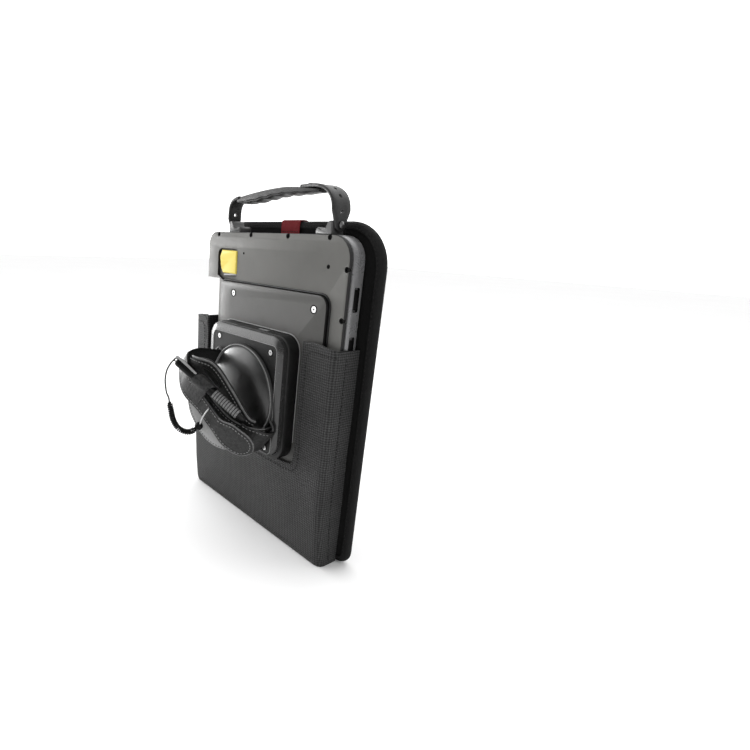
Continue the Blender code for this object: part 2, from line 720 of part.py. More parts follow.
# stylus, its holder and its tether
sa, sb = Vector(STYLUS_A), Vector(STYLUS_B)
stylus_dir = (sb - sa).normalized()
stylus_len = (sb - sa).length
turn = Vector((0, 0, 1)).rotation_difference(stylus_dir)
stylus_axis = pivot("stylus_axis", (0, 0, 0))
stylus_axis.parent = swivel
stylus_axis.location = sa * MM
stylus_axis.rotation_mode = "QUATERNION"
stylus_axis.rotation_quaternion = turn
tip_start = stylus_len - 7.0
turned(
    "stylus_barrel",
    [(0, tip_start), (2.6, tip_start), (3.6, tip_start - 5), (STYLUS_R, tip_start - 12), (STYLUS_R, 3.0), (3.4, 1.0), (2.0, 0), (0, 0)],
    BLACK, parent=stylus_axis, steps=20,
)
turned(
    "stylus_tip",
    [(0, stylus_len), (1.0, stylus_len - 0.3), (1.9, stylus_len - 2.0), (2.3, tip_start + 0.3), (0, tip_start + 0.3)],
    RUBBER, parent=stylus_axis, steps=16,
)
box("stylus_clip", (-1.6, 1.6), (4.7, 7.2), (-2.0, 22.0), LIGHT_GREY, bevel=0.6, parent=stylus_axis)
bpy.data.objects["stylus_clip"].rotation_euler = (0, 0, 0)
holder = turned(
    "pen_holder",
    [(6.0, 24.0), (6.0, 41.0), (4.6, 41.0), (4.6, 24.0)][::-1],
    LEATHER, parent=stylus_axis, steps=24,
)


def strap_point(p):
    return Vector(p)


eye = sa - stylus_dir * 2.4
KNOB = Vector((16.1, -19.5, 43.0))
CORD_TOP = [tuple(eye), (-38.0, 4.0, 57.6), (-35.4, -2.6, 60.2), (-30.2, -8.0, 62.0), (-24.3, -11.0, 63.0), (-18.5, -12.6, 63.8), (-13.8, -12.4, 64.0), (-10.12, -13.83, 64.0)]
COIL = [(-9.8, -14.0, 64.0), (-3.1, -17.5, 64.0), (3.3, -24.0, 62.0), (9.8, -28.4, 58.0), (15.2, -28.1, 52.5), (16.9, -25.2, 47.8), (16.3, -22.15, 45.1)]
tube("tether_cord_upper", smooth_path(CORD_TOP, 26), 0.7, BLACK, swivel)
tube("tether_coil", smooth_path(COIL, 22), 3.0, BLACK, swivel)
knob_mesh = bmesh.new()
bmesh.ops.create_uvsphere(knob_mesh, u_segments=14, v_segments=9, radius=3.1 * MM)
mesh = bpy.data.meshes.new("tether_knob")
knob_mesh.to_mesh(mesh)
knob_mesh.free()
place("tether_knob", mesh, BLACK, KNOB, swivel, smooth=True)
tube(
    "tether_cord_lower",
    smooth_path([(15.7, -15.9, 43.4), (14.4, -10.5, 43.0), (13.0, -4.5, 42.2), (12.4, 2.0, 41.4)], 8),
    0.6, LIGHT_FABRIC, swivel,
)

# ================================================================ carry handle
hinge = pivot("handle_hinge_axis", (0, y(HINGE_Y), HINGE_Z))


def foot(name, side):
    """Bracket on the jacket's top edge that carries one end of the handle."""
    inner = [(0.0, 0.0), (0.0, 2.4), (5.0, 3.0), (9.0, 4.6), (11.0, 7.4), (12.4, 10.2), (17.0, 10.2), (17.0, 0.0)]
    if side > 0:
        start = BAND_X[1] - 1.5 - 17.0
        loop = [(start + a, FOOT_Z + b) for a, b in inner]
    else:
        start = BAND_X[0] + 1.5 + 17.0
        loop = [(start - a, FOOT_Z + b) for a, b in inner]
    obj = flat(name, [loop], y(HINGE_Y - 7), y(HINGE_Y + 7), LIGHT_GREY, edge=0.6)
    x_mid = BAND_X[1] if side > 0 else BAND_X[0]
    cut(obj, cylinder(name + "_bore", (x_mid, y(HINGE_Y), HINGE_Z), 1.9, 26, (1, 0, 0), segments=16))
    return obj


foot("handle_foot_left", -1)
foot("handle_foot_right", 1)


def pin(name, side):
    x_band = BAND_X[1] if side > 0 else BAND_X[0]
    obj = turned(
        name,
        [(0, 2.9), (1.7, 2.8), (2.6, 2.4), (2.6, 1.7), (1.5, 1.7), (1.5, -6.0), (0, -6.0)],
        STEEL, (x_band, y(HINGE_Y), HINGE_Z), (0, math.radians(90 * side), 0), steps=16,
    )
    return obj


pin("handle_pin_left", -1)
pin("handle_pin_right", 1)


def handle_band(name, path, width_at, parent, rows):
    """A flat rubber strap that follows a path in the XZ plane and is as wide as width_at says along Y."""
    line = smooth_path([(px, pz, 0) for px, pz in path], rows)
    bm = bmesh.new()
    grid = []
    for p in line:
        half = width_at(p.x, p.y) / 2
        grid.append(
            [
                bm.verts.new(Vector((p.x, half * k, p.y - HINGE_Z)) * MM)
                for k in (-1.0, -0.5, 0.0, 0.5, 1.0)
            ]
        )
    for a, b in zip(grid, grid[1:]):
        for j in range(4):
            bm.faces.new((a[j], a[j + 1], b[j + 1], b[j]))
    mesh = bpy.data.meshes.new(name)
    bm.to_mesh(mesh)
    bm.free()
    obj = place(name, mesh, RUBBER, parent=parent, smooth=True)
    mod = obj.modifiers.new("thickness", "SOLIDIFY")
    mod.thickness = BAND_T * MM
    mod.offset = 0.0
    return obj


def end_width(full, narrow=0.0):
    """Width of a band: round at the hinge, full up its side, and less by `narrow` at its far end."""
    def width(x, z):
        if z < HINGE_Z:
            return 2 * math.sqrt(max(5.6**2 - (HINGE_Z - z) ** 2, 1.6))
        taper = narrow * min(1.0, max(0.0, (58.0 - x) / 22.0))
        return min(full, 11.2 + 0.85 * (z - HINGE_Z)) - taper

    return width


xl, xr = BAND_X
right_path = [(xr, 283.1), (xr, 286), (xr, 291), (xr, 298.5), (73.4, 306.0), (69.2, 312.2), (62.5, 316.6), (54, 318.8), (45, 319.6), (34, 319.7)]
left_path = [(xl, 283.1), (xl, 286), (xl, 291), (xl, 299), (-60.6, 305.2), (-57.2, 309.6), (-53.4, 311.6)]
right_band = handle_band("handle_band_right", right_path, end_width(BAND_W[1], 7.5), hinge, 30)
left_band = handle_band("handle_band_left", left_path, end_width(BAND_W[0]), hinge, 16)
for i, (hx, hz, nx, nz) in enumerate(
    ((66.2, 314.6, 0.6, 0.8), (71.9, 309.0, 0.86, 0.5), (74.9, 297.5, 1, 0.05), (xr, HINGE_Z, 1, 0))
):
    cut(
        right_band,
        cylinder(f"band_hole_{i + 1}", (hx, 0, hz - HINGE_Z), 1.55 if i < 3 else 1.9, 8, (nx, 0, nz), segments=12, parent=hinge),
    )
cut(right_band, cylinder("stud_hole", (40.0, 0, 319.6 - HINGE_Z), 1.7, 8, (0, 0, 1), segments=12, parent=hinge))
for i, (hz, r) in enumerate(((297.2, 1.6), (HINGE_Z, 1.9))):
    cut(left_band, cylinder(f"left_band_hole_{i + 1}", (xl, 0, hz - HINGE_Z), r, 8, (1, 0, 0), segments=12, parent=hinge))

turned(
    "handle_stud",
    [(0, 3.6), (2.0, 3.5), (3.2, 2.7), (3.2, 1.7), (1.35, 1.7), (1.35, -1.5), (0, -1.5)],
    BLACK, (40.0, 0, 319.75 - HINGE_Z), parent=hinge, steps=16,
)


GRIP_DEPTH = ((-53.0, 5.2), (-40.0, 8.2), (-24.0, 9.2), (3.0, 7.8), (28.0, 6.4), (45.0, 4.8), (55.5, 3.4))


def grip_section(t):
    """(x, top z, bottom z, half width) of the moulded grip at a share of its length."""
    x = -52.6 + 107.6 * t
    top = 312.9 + 6.4 * math.sin(math.pi * min(1.0, t / 0.72) / 2) ** 0.9 - (0.0 if t < 0.6 else 9.0 * (t - 0.6) ** 1.2)
    depth = GRIP_DEPTH[-1][1]
    for (xa, da), (xb, db) in zip(GRIP_DEPTH, GRIP_DEPTH[1:]):
        if xa <= x < xb:
            depth = da + (db - da) * (x - xa) / (xb - xa)
    waves = 0.35 * math.sin(2 * math.pi * (t * 4.2 + 0.1)) * math.sin(math.pi * t)
    return x, top, top - depth - waves, 5.6 + 2.8 * math.sin(math.pi * t) ** 0.5


grip_rings = []
for k in range(27):
    gx, top, bottom, half = grip_section(k / 26)
    middle, tall = (top + bottom) / 2, (top - bottom) / 2
    ring_points = []
    for n in range(14):
        a = 2 * math.pi * n / 14
        c, s = math.cos(a), math.sin(a)
        ring_points.append(
            (
                gx,
                half * math.copysign(abs(c) ** 0.6, c),
                middle + tall * math.copysign(abs(s) ** 0.6, s) - HINGE_Z,
            )
        )
    grip_rings.append(ring_points)
loft("handle_grip", grip_rings, RUBBER, parent=hinge, smooth=True)
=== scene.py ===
import math

import bmesh
import bpy
import numpy as np
from mathutils import Matrix, Vector, noise


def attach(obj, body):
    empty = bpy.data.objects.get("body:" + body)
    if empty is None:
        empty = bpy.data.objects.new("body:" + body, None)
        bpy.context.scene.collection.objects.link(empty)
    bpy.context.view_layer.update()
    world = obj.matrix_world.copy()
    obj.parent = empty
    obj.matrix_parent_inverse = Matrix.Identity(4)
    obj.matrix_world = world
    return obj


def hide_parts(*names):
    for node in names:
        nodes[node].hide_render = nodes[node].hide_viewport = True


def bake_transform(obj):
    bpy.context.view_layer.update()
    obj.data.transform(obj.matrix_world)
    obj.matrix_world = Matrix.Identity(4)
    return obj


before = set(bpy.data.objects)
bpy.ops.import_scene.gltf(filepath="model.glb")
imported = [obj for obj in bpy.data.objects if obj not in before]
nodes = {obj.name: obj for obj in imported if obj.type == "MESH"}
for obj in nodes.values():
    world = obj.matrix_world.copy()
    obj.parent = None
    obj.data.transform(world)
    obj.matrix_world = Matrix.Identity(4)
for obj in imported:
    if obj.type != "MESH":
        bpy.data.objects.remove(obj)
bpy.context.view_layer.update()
scene = bpy.context.scene
MM = 0.001
BY = 10.0  # the board's front face, along Y, in mm

# ------------------------------------------------------------------ camera
AZ, EL, ROLL = math.radians(53.78), math.radians(15.22), math.radians(-2.68)
look = Vector((-math.sin(AZ) * math.cos(EL), math.cos(AZ) * math.cos(EL), -math.sin(EL)))
level = Vector((math.cos(AZ), math.sin(AZ), 0))
fall = look.cross(level)
right = math.cos(ROLL) * level + math.sin(ROLL) * fall
down = -math.sin(ROLL) * level + math.cos(ROLL) * fall
cam_data = bpy.data.cameras.new("camera")
camera = bpy.data.objects.new("camera", cam_data)
scene.collection.objects.link(camera)
camera.matrix_world = Matrix(
    (
        (right.x, -down.x, -look.x, 0.34841),
        (right.y, -down.y, -look.y, -0.30314),
        (right.z, -down.z, -look.z, 0.27289),
        (0, 0, 0, 1),
    )
)
cam_data.sensor_width = 36.0
cam_data.lens = 493.9 / 750 * 36.0
cam_data.shift_x = (375.0 - 226.53) / 750
cam_data.shift_y = 0.0
cam_data.clip_start = 0.01
scene.camera = camera
scene.view_settings.view_transform = "Standard"

# ------------------------------------------------------------------ strap coordinates (mm): along, across, outward
TURN = math.radians(130.0)
S = Vector((math.sin(TURN), 0, math.cos(TURN)))
W = Vector((-math.cos(TURN), 0, math.sin(TURN)))
H = Vector((0, -1, 0))
C = Vector((0.005, -0.036, 0.139))


def L(s, w, h):
    return C + (S * s + W * w + H * h) * MM


def P(x, y, z):
    return Vector((x, y, z)) * MM


# ------------------------------------------------------------------ materials
class Shade:
    """A material and a few short ways to add nodes to it."""

    def __init__(self, name, colour, roughness, metallic=0.0, specular=0.5, sheen=0.0, coat=0.0, coat_roughness=0.1):
        self.m = bpy.data.materials.new(name)
        self.m.use_nodes = True
        self.t = self.m.node_tree
        self.b = self.t.nodes["Principled BSDF"]
        self.b.inputs["Base Color"].default_value = (*colour, 1)
        self.b.inputs["Roughness"].default_value = roughness
        self.b.inputs["Metallic"].default_value = metallic
        self.b.inputs["Specular IOR Level"].default_value = specular
        self.b.inputs["Sheen Weight"].default_value = sheen
        self.b.inputs["Coat Weight"].default_value = coat
        self.b.inputs["Coat Roughness"].default_value = coat_roughness
        self.coords = self.t.nodes.new("ShaderNodeTexCoord").outputs["Object"]

    def put(self, socket, value):
        if isinstance(value, bpy.types.NodeSocket):
            self.t.links.new(value, socket)
        else:
            socket.default_value = value

    def math(self, op, a, b=0.0, clamp=False):
        n = self.t.nodes.new("ShaderNodeMath")
        n.operation = op
        n.use_clamp = clamp
        self.put(n.inputs[0], a)
        self.put(n.inputs[1], b)
        return n.outputs[0]

    def noise(self, scale, detail=3.0, rough=0.5, distortion=0.0, coords=None):
        n = self.t.nodes.new("ShaderNodeTexNoise")
        n.inputs["Scale"].default_value = scale
        n.inputs["Detail"].default_value = detail
        n.inputs["Roughness"].default_value = rough
        n.inputs["Distortion"].default_value = distortion
        self.put(n.inputs["Vector"], coords or self.coords)
        return n.outputs["Fac"]

    def cells(self, scale, feature="F1", coords=None):
        n = self.t.nodes.new("ShaderNodeTexVoronoi")
        n.feature = feature
        n.inputs["Scale"].default_value = scale
        self.put(n.inputs["Vector"], coords or self.coords)
        return n.outputs["Distance"]

    def xyz(self, coords=None):
        n = self.t.nodes.new("ShaderNodeSeparateXYZ")
        self.put(n.inputs[0], coords or self.coords)
        return n.outputs

    def ramp(self, value, stops):
        n = self.t.nodes.new("ShaderNodeValToRGB")
        self.put(n.inputs[0], value)
        e = n.color_ramp.elements
        while len(e) < len(stops):
            e.new(0.5)
        for item, (pos, colour) in zip(e, stops):
            item.position = pos
            item.color = (*colour, 1) if hasattr(colour, "__len__") else (colour, colour, colour, 1)
        return n.outputs[0]

    def blend(self, factor, a, b):
        n = self.t.nodes.new("ShaderNodeMix")
        n.data_type = "RGBA"
        self.put(n.inputs["Factor"], factor)
        for socket, v in ((n.inputs[6], a), (n.inputs[7], b)):
            self.put(socket, v if isinstance(v, bpy.types.NodeSocket) else (*v, 1))
        return n.outputs[2]

    def between(self, value, low, high, out_low, out_high):
        n = self.t.nodes.new("ShaderNodeMapRange")
        for socket, v in zip(n.inputs, (value, low, high, out_low, out_high)):
            self.put(socket, v)
        return n.outputs[0]

    def bump(self, height, distance, strength=1.0):
        n = self.t.nodes.new("ShaderNodeBump")
        n.inputs["Distance"].default_value = distance
        n.inputs["Strength"].default_value = strength
        self.put(n.inputs["Height"], height)
        if self.b.inputs["Normal"].is_linked:
            self.t.links.new(self.b.inputs["Normal"].links[0].from_socket, n.inputs["Normal"])
        self.t.links.new(n.outputs[0], self.b.inputs["Normal"])

    def colour(self, socket):
        self.t.links.new(socket, self.b.inputs["Base Color"])

    def rough(self, socket):
        self.t.links.new(socket, self.b.inputs["Roughness"])


def grey(v, tint=1.0):
    return (v, v, v * tint)


def weave(name, dark, light, axes, pitch=0.0019):
    """Ballistic nylon: crossed yarns at a slant, each yarn's crown painted lighter as a painted highlight, with random
    tone over it.
    """
    s = Shade(name, dark, 0.62, specular=0.22, sheen=0.03)
    xyz = s.xyz()
    a, b = xyz[axes[0]], xyz[axes[1]]
    wob = s.between(s.noise(90.0, 2.0), 0.0, 1.0, -0.0005, 0.0005)
    a = s.math("ADD", a, wob)
    k = 2 * math.pi / (pitch * math.sqrt(2))
    u = s.math("SINE", s.math("MULTIPLY", s.math("ADD", a, b), k))
    v = s.math("SINE", s.math("MULTIPLY", s.math("SUBTRACT", a, b), k))
    crown = s.math("MULTIPLY", u, v)
    lift = s.between(crown, -1.0, 1.0, 0.0, 1.0)
    fleck = s.noise(1500.0, 2.0, 0.7)
    shade = s.math("MULTIPLY", lift, s.between(fleck, 0.3, 0.75, 0.25, 1.25), clamp=True)
    cloud = s.between(s.noise(22.0, 3.0, 0.6), 0.3, 0.75, 0.75, 1.2)
    shade = s.math("MULTIPLY", shade, cloud, clamp=True)
    # dark to light by crown height: painted highlight on the yarn crowns, with random fleck and cloud
    s.colour(s.blend(shade, dark, light))
    s.rough(s.between(fleck, 0.2, 0.8, 0.48, 0.75))
    s.bump(lift, 0.0005, 0.9)
    s.bump(fleck, 0.0002, 0.4)
    return s.m


def leather(name, dark, light, grain=900.0, rough=0.5):
    s = Shade(name, dark, rough, specular=0.28, sheen=0.0)
    cell = s.cells(grain)
    crease = s.noise(140.0, 5.0, 0.65, 0.6)
    blotch = s.noise(380.0, 4.0, 0.7)
    mix = s.math("MULTIPLY", s.between(blotch, 0.38, 0.72, 0.0, 1.0), s.between(crease, 0.3, 0.75, 0.25, 1.0), clamp=True)
    s.colour(s.blend(mix, dark, light))
    s.rough(s.between(crease, 0.25, 0.75, rough - 0.12, rough + 0.15))
    s.bump(cell, 0.0003, 0.5)
    s.bump(crease, 0.0009, 0.6)
    return s.m


def plastic(name, colour, rough, grain=0.25, metallic=0.0, specular=0.5, spread=0.12, coat=0.0):
    """Moulded plastic with a fine spark-eroded grain and faint handling marks."""
    s = Shade(name, colour, rough, metallic, specular, coat=coat)
    big = s.noise(16.0, 4.0, 0.6)
    fine = s.noise(2600.0, 2.0, 0.6)
    scuff = s.noise(70.0, 5.0, 0.7, 1.2)
    s.colour(s.blend(s.between(big, 0.25, 0.75, 0.0, 1.0), [c * (1 - spread) for c in colour], [min(1, c * (1 + spread)) for c in colour]))
    s.rough(s.between(scuff, 0.3, 0.75, rough - 0.07, rough + 0.1))
    s.bump(fine, 0.00012, grain)
    s.bump(big, 0.0006, 0.12)
    return s.m


def normal_shaded(name, face, side, rough, threshold=0.72, specular=0.5):
    """Moulded plastic whose broad faces, front and back, are one colour, and whose edges and sides, picked by their
    normal, are painted darker: a painted shade.
    """
    s = Shade(name, face, rough, specular=specular)
    n = s.t.nodes.new("ShaderNodeNewGeometry")
    across = s.math("ABSOLUTE", s.xyz(n.outputs["True Normal"])[1])
    big = s.noise(14.0, 4.0, 0.6)
    fine = s.noise(2600.0, 2.0, 0.6)
    tone = s.blend(s.between(big, 0.25, 0.75, 0.0, 1.0), [c * 0.86 for c in face], [c * 1.14 for c in face])
    # surfaces not facing front or back get the darker side colour: painted shade on edges and sides
    s.colour(s.blend(s.between(across, threshold - 0.08, threshold + 0.08, 0.0, 1.0), side, tone))
    s.rough(s.between(s.noise(60.0, 5.0, 0.7, 1.0), 0.3, 0.75, rough - 0.06, rough + 0.09))
    s.bump(fine, 0.00012, 0.3)
    return s.m


def metal(name, colour, rough):
    s = Shade(name, colour, rough, 1.0)
    fine = s.noise(900.0, 3.0, 0.7)
    s.rough(s.between(fine, 0.2, 0.8, rough - 0.08, rough + 0.15))
    s.bump(fine, 0.0001, 0.3)
    return s.m


def felt(name, colour):
    s = Shade(name, colour, 0.95, specular=0.1, sheen=0.03)
    fluff = s.noise(700.0, 5.0, 0.75)
    patch = s.noise(18.0, 3.0)
    s.colour(s.blend(s.math("MULTIPLY", fluff, patch), [c * 0.6 for c in colour], [c * 1.7 for c in colour]))
    s.bump(fluff, 0.0006, 0.7)
    return s.m


def ribbed(name, dark, light, axis, pitch, rough=0.75):
    """Woven tape: fine ribs across it, each rib's crown painted lighter as a painted highlight."""
    s = Shade(name, dark, rough, specular=0.15, sheen=0.02)
    rib = s.math("SINE", s.math("MULTIPLY", s.xyz()[axis], 2 * math.pi / pitch))
    fleck = s.noise(1400.0, 2.0, 0.7)
    lift = s.math("MULTIPLY", s.between(rib, -1.0, 1.0, 0.0, 1.0), s.between(fleck, 0.25, 0.8, 0.4, 1.2), clamp=True)
    # dark to light by rib height: painted highlight on the rib crowns
    s.colour(s.blend(lift, dark, light))
    s.bump(lift, 0.0004, 0.8)
    return s.m


M = {
    "pocket": weave("pocket_nylon", grey(0.004), grey(0.075), (0, 2), 0.0030),
    "gusset": weave("gusset_nylon", grey(0.003), grey(0.075), (1, 2), 0.0030),
    "board": felt("board_cover", grey(0.006)),
    "liner": felt("board_lining", grey(0.004)),
    "tape": ribbed("edge_tape", grey(0.003), grey(0.014), 2, 0.0009),
    "webbing": ribbed("webbing", grey(0.003), grey(0.010), 1, 0.0012),
    "red": ribbed("red_tape", (0.12, 0.006, 0.010), (0.26, 0.022, 0.026), 0, 0.0011),
    "thread": Shade("thread", grey(0.22), 0.7, specular=0.2).m,
    "thread_dark": Shade("thread_dark", grey(0.014), 0.7, specular=0.2).m,
    # the piping leather in a lighter copy, a painted highlight; piping_dark is the darker copy
    "piping_highlit": leather("piping_highlit", grey(0.09), grey(0.24), 700.0, 0.45),
    "piping_dark": leather("piping_dark", grey(0.03), grey(0.10), 700.0, 0.45),
    "leather": leather("strap_leather", grey(0.006), grey(0.045)),
    "pad": leather("pad_leather", grey(0.006), grey(0.040), 800.0, 0.48),
    "loop": felt("loop_fabric", grey(0.36)),
    # housing and expansion cover: sides and edges painted darker by their normal, a painted shade
    "face": normal_shaded("housing_grey", (0.116, 0.115, 0.109), grey(0.02), 0.52, specular=0.2),
    "cover": normal_shaded("cover_grey", (0.068, 0.067, 0.064), grey(0.004), 0.46, 0.6, 0.3),
    "silver": plastic("silver_plastic", grey(0.22, 1.02), 0.30, 0.2, 0.45),
    "frame": plastic("strap_frame_grey", grey(0.028), 0.24, 0.15, 0.2, 0.65),
    "rim": plastic("plate_rim", grey(0.16), 0.3, 0.1, 0.1),
    "lip": plastic("block_lip", grey(0.22), 0.3, 0.1, 0.1),
    "plate": plastic("plate_black", grey(0.006), 0.36, 0.4, specular=0.2),
    "black": plastic("black_plastic", grey(0.004), 0.42, 0.3, specular=0.3),
    "gloss": plastic("dome_gloss", grey(0.006), 0.33, 0.02, 0.0, 0.7),
    "ring": plastic("ring_grey", grey(0.03), 0.32, 0.1, 0.1),
    "light": plastic("light_plastic", grey(0.055), 0.36, 0.3),
    "clip": plastic("pen_clip_grey", grey(0.22), 0.3, 0.2, 0.3),
    "yellow": plastic("yellow_key", (0.67, 0.54, 0.10), 0.5, 0.3, specular=0.15, spread=0.06),
    "rubber": plastic("soft_rubber", grey(0.014), 0.42, 0.6, specular=0.35),
    "rubber_dark": plastic("dark_rubber", grey(0.008), 0.6, 0.6, specular=0.3),
    "steel": metal("screw_steel", grey(0.62), 0.25),
    "pin": metal("hinge_pin", grey(0.22), 0.35),
    "dark_steel": metal("black_screw", grey(0.01), 0.4),
    "key": plastic("side_key", grey(0.003), 0.5, 0.2, specular=0.12),
    "glass": plastic("cover_glass", grey(0.006), 0.06, 0.0, 0.0, 0.7, 0.02),
    "screen": plastic("screen", grey(0.03), 0.12, 0.02),
    "board_green": plastic("circuit_board", (0.02, 0.12, 0.05), 0.5),
    # near-black for holes and recesses: painted shade inside them
    "painted_hole_shade": Shade("painted_hole_shade", grey(0.002), 0.9, specular=0.05).m,
    "cord": plastic("cord_black", grey(0.002), 0.38, 0.2, specular=0.15),
    "cord_light": plastic("cord_light", grey(0.5), 0.5, 0.2),
    "grip_grey": plastic("grip_grey", grey(0.15), 0.36, 0.3, 0.2),
    "grip_dark": plastic("grip_dark", grey(0.01), 0.5, 0.3, specular=0.3),
}


def paint(material, *names):
    for n in names:
        slots = nodes[n].data.materials
        slots.clear()
        slots.append(M[material])


def soften(obj, degrees=34.0):
    """Rounded shading on a faceted CAD node, with its corners kept, and no vertex moved."""
    me = obj.data
    key = {}
    index = []
    for v in me.vertices:
        k = (round(v.co.x, 6), round(v.co.y, 6), round(v.co.z, 6))
        index.append(key.setdefault(k, len(key)))
    around = [[] for _ in key]
    for poly in me.polygons:
        n, area = poly.normal.copy(), poly.area
        verts = list(poly.vertices)
        for i, v in enumerate(verts):
            a = (me.vertices[verts[i - 1]].co - me.vertices[v].co)
            b = (me.vertices[verts[(i + 1) % len(verts)]].co - me.vertices[v].co)
            weight = a.angle(b, 0.0) if a.length > 1e-9 and b.length > 1e-9 else 0.0
            around[index[v]].append((n, weight if area > 1e-14 else 0.0))
    limit = math.cos(math.radians(degrees))
    normals = [None] * len(me.loops)
    for poly in me.polygons:
        poly.use_smooth = True
        for li in poly.loop_indices:
            total = Vector((0, 0, 0))
            for n, weight in around[index[me.loops[li].vertex_index]]:
                if n.dot(poly.normal) > limit:
                    total += n * weight
            normals[li] = (total.normalized() if total.length > 1e-9 else poly.normal)[:]
    me.normals_split_custom_set(normals)


# ------------------------------------------------------------------ mesh builders
def piece(name, verts, faces, material, body=None, smooth=35.0, levels=0, fix=True):
    me = bpy.data.meshes.new(name)
    me.from_pydata([tuple(v) for v in verts], [], faces)
    bm = bmesh.new()
    bm.from_mesh(me)
    bmesh.ops.remove_doubles(bm, verts=bm.verts, dist=1e-7)
    if fix:
        bmesh.ops.recalc_face_normals(bm, faces=bm.faces)
    bm.to_mesh(me)
    bm.free()
    if smooth is not None:
        me.shade_smooth()
        me.set_sharp_from_angle(angle=math.radians(smooth))
    me.materials.append(M[material])
    o = bpy.data.objects.new(name, me)
    scene.collection.objects.link(o)
    if levels:
        mod = o.modifiers.new("round", "SUBSURF")
        mod.levels = mod.render_levels = levels
    if body:
        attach(o, body)
    return o


def rings_mesh(rings, closed_path=False, caps=True):
    n = len(rings[0])
    verts = [p for r in rings for p in r]
    faces = []
    last = len(rings) if closed_path else len(rings) - 1
    for i in range(last):
        a, b = i * n, ((i + 1) % len(rings)) * n
        for j in range(n):
            k = (j + 1) % n
            faces.append((a + j, a + k, b + k, b + j))
    if caps and not closed_path:
        faces.append(tuple(reversed(range(n))))
        faces.append(tuple(range((len(rings) - 1) * n, len(rings) * n)))
    return verts, faces


def lofted(name, rings, material, body=None, smooth=35.0, closed_path=False, levels=0):
    v, f = rings_mesh(rings, closed_path)
    return piece(name, v, f, material, body, smooth, levels)


def frames_along(points, closed=False):
    """(tangent, side, up) at each point, carried along without twist."""
    n = len(points)
    tangents = []
    for i in range(n):
        a = points[(i - 1) % n] if closed or i else points[0]
        b = points[(i + 1) % n] if closed or i < n - 1 else points[-1]
        tangents.append((b - a).normalized())
    side = tangents[0].orthogonal().normalized()
    out = []
    for t in tangents:
        side = (side - t * side.dot(t)).normalized()
        out.append((t, side, t.cross(side)))
    return out


def tube(name, points, radius, material, body=None, sides=8, closed=False, taper=None):
    points = [Vector(p) for p in points]
    rings = []
    for i, (p, (t, a, b)) in enumerate(zip(points, frames_along(points, closed))):
        r = radius * (taper(i / (len(points) - 1)) if taper else 1.0)
        rings.append([p + (a * math.cos(2 * math.pi * k / sides) + b * math.sin(2 * math.pi * k / sides)) * r for k in range(sides)])
    return lofted(name, rings, material, body, 60.0, closed)


def smooth_path(points, count):
    points = [Vector(p) for p in points]
    padded = [2 * points[0] - points[1], *points, 2 * points[-1] - points[-2]]
    dense = []
    for i in range(1, len(padded) - 2):
        a, b, c, d = padded[i - 1 : i + 3]
        for k in range(24):
            t = k / 24
            dense.append(0.5 * (2 * b + (c - a) * t + (2 * a - 5 * b + 4 * c - d) * t * t + (3 * b - a - 3 * c + d) * t**3))
    dense.append(points[-1])
    along = [0.0]
    for a, b in zip(dense, dense[1:]):
        along.append(along[-1] + (b - a).length)
    out, j = [], 0
    for k in range(count):
        want = along[-1] * k / (count - 1)
        while j < len(along) - 2 and along[j + 1] < want:
            j += 1
        span = along[j + 1] - along[j]
        out.append(dense[j].lerp(dense[j + 1], (want - along[j]) / span if span else 0))
    return out


def stitches(name, line, material, body=None, pitch=0.0031, length=0.0021, radius=0.00036, blend=None):
    """Sewn thread along a line of (point, surface normal): one short raised stitch after another."""
    verts, faces = [], []
    total = 0.0
    marks = [0.0]
    for (a, _), (b, _) in zip(line, line[1:]):
        total += (b - a).length
        marks.append(total)
    count = max(1, int(total / pitch))

    def at(d):
        j = 0
        while j < len(marks) - 2 and marks[j + 1] < d:
            j += 1
        span = marks[j + 1] - marks[j] or 1.0
        f = min(1.0, max(0.0, (d - marks[j]) / span))
        return line[j][0].lerp(line[j + 1][0], f), line[j][1].lerp(line[j + 1][1], f).normalized()

    for i in range(count):
        mid = (i + 0.5) * total / count
        p0, n0 = at(mid - length / 2)
        p1, n1 = at(mid + length / 2)
        d = (p1 - p0)
        if d.length < 1e-6:
            continue
        d.normalize()
        up = (n0 + n1).normalized()
        side = d.cross(up).normalized()
        centre = (p0 + p1) / 2
        base = len(verts)
        for along, r, lift in ((-0.5, 0.35, -0.3), (-0.3, 1.0, 0.35), (0.3, 1.0, 0.35), (0.5, 0.35, -0.3)):
            q = centre + d * (along * length) + up * (lift * radius)
            for k in range(6):
                ang = math.pi * k / 3
                verts.append(q + (side * math.cos(ang) + up * math.sin(ang)) * radius * r)
        for r in range(3):
            for k in range(6):
                a = base + r * 6
                faces.append((a + k, a + (k + 1) % 6, a + 6 + (k + 1) % 6, a + 6 + k))
        faces.append(tuple(base + k for k in reversed(range(6))))
        faces.append(tuple(base + 18 + k for k in range(6)))
    o = piece(name, verts, faces, material, None if blend else body, 80.0)
    if blend:
        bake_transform(o)
    return o


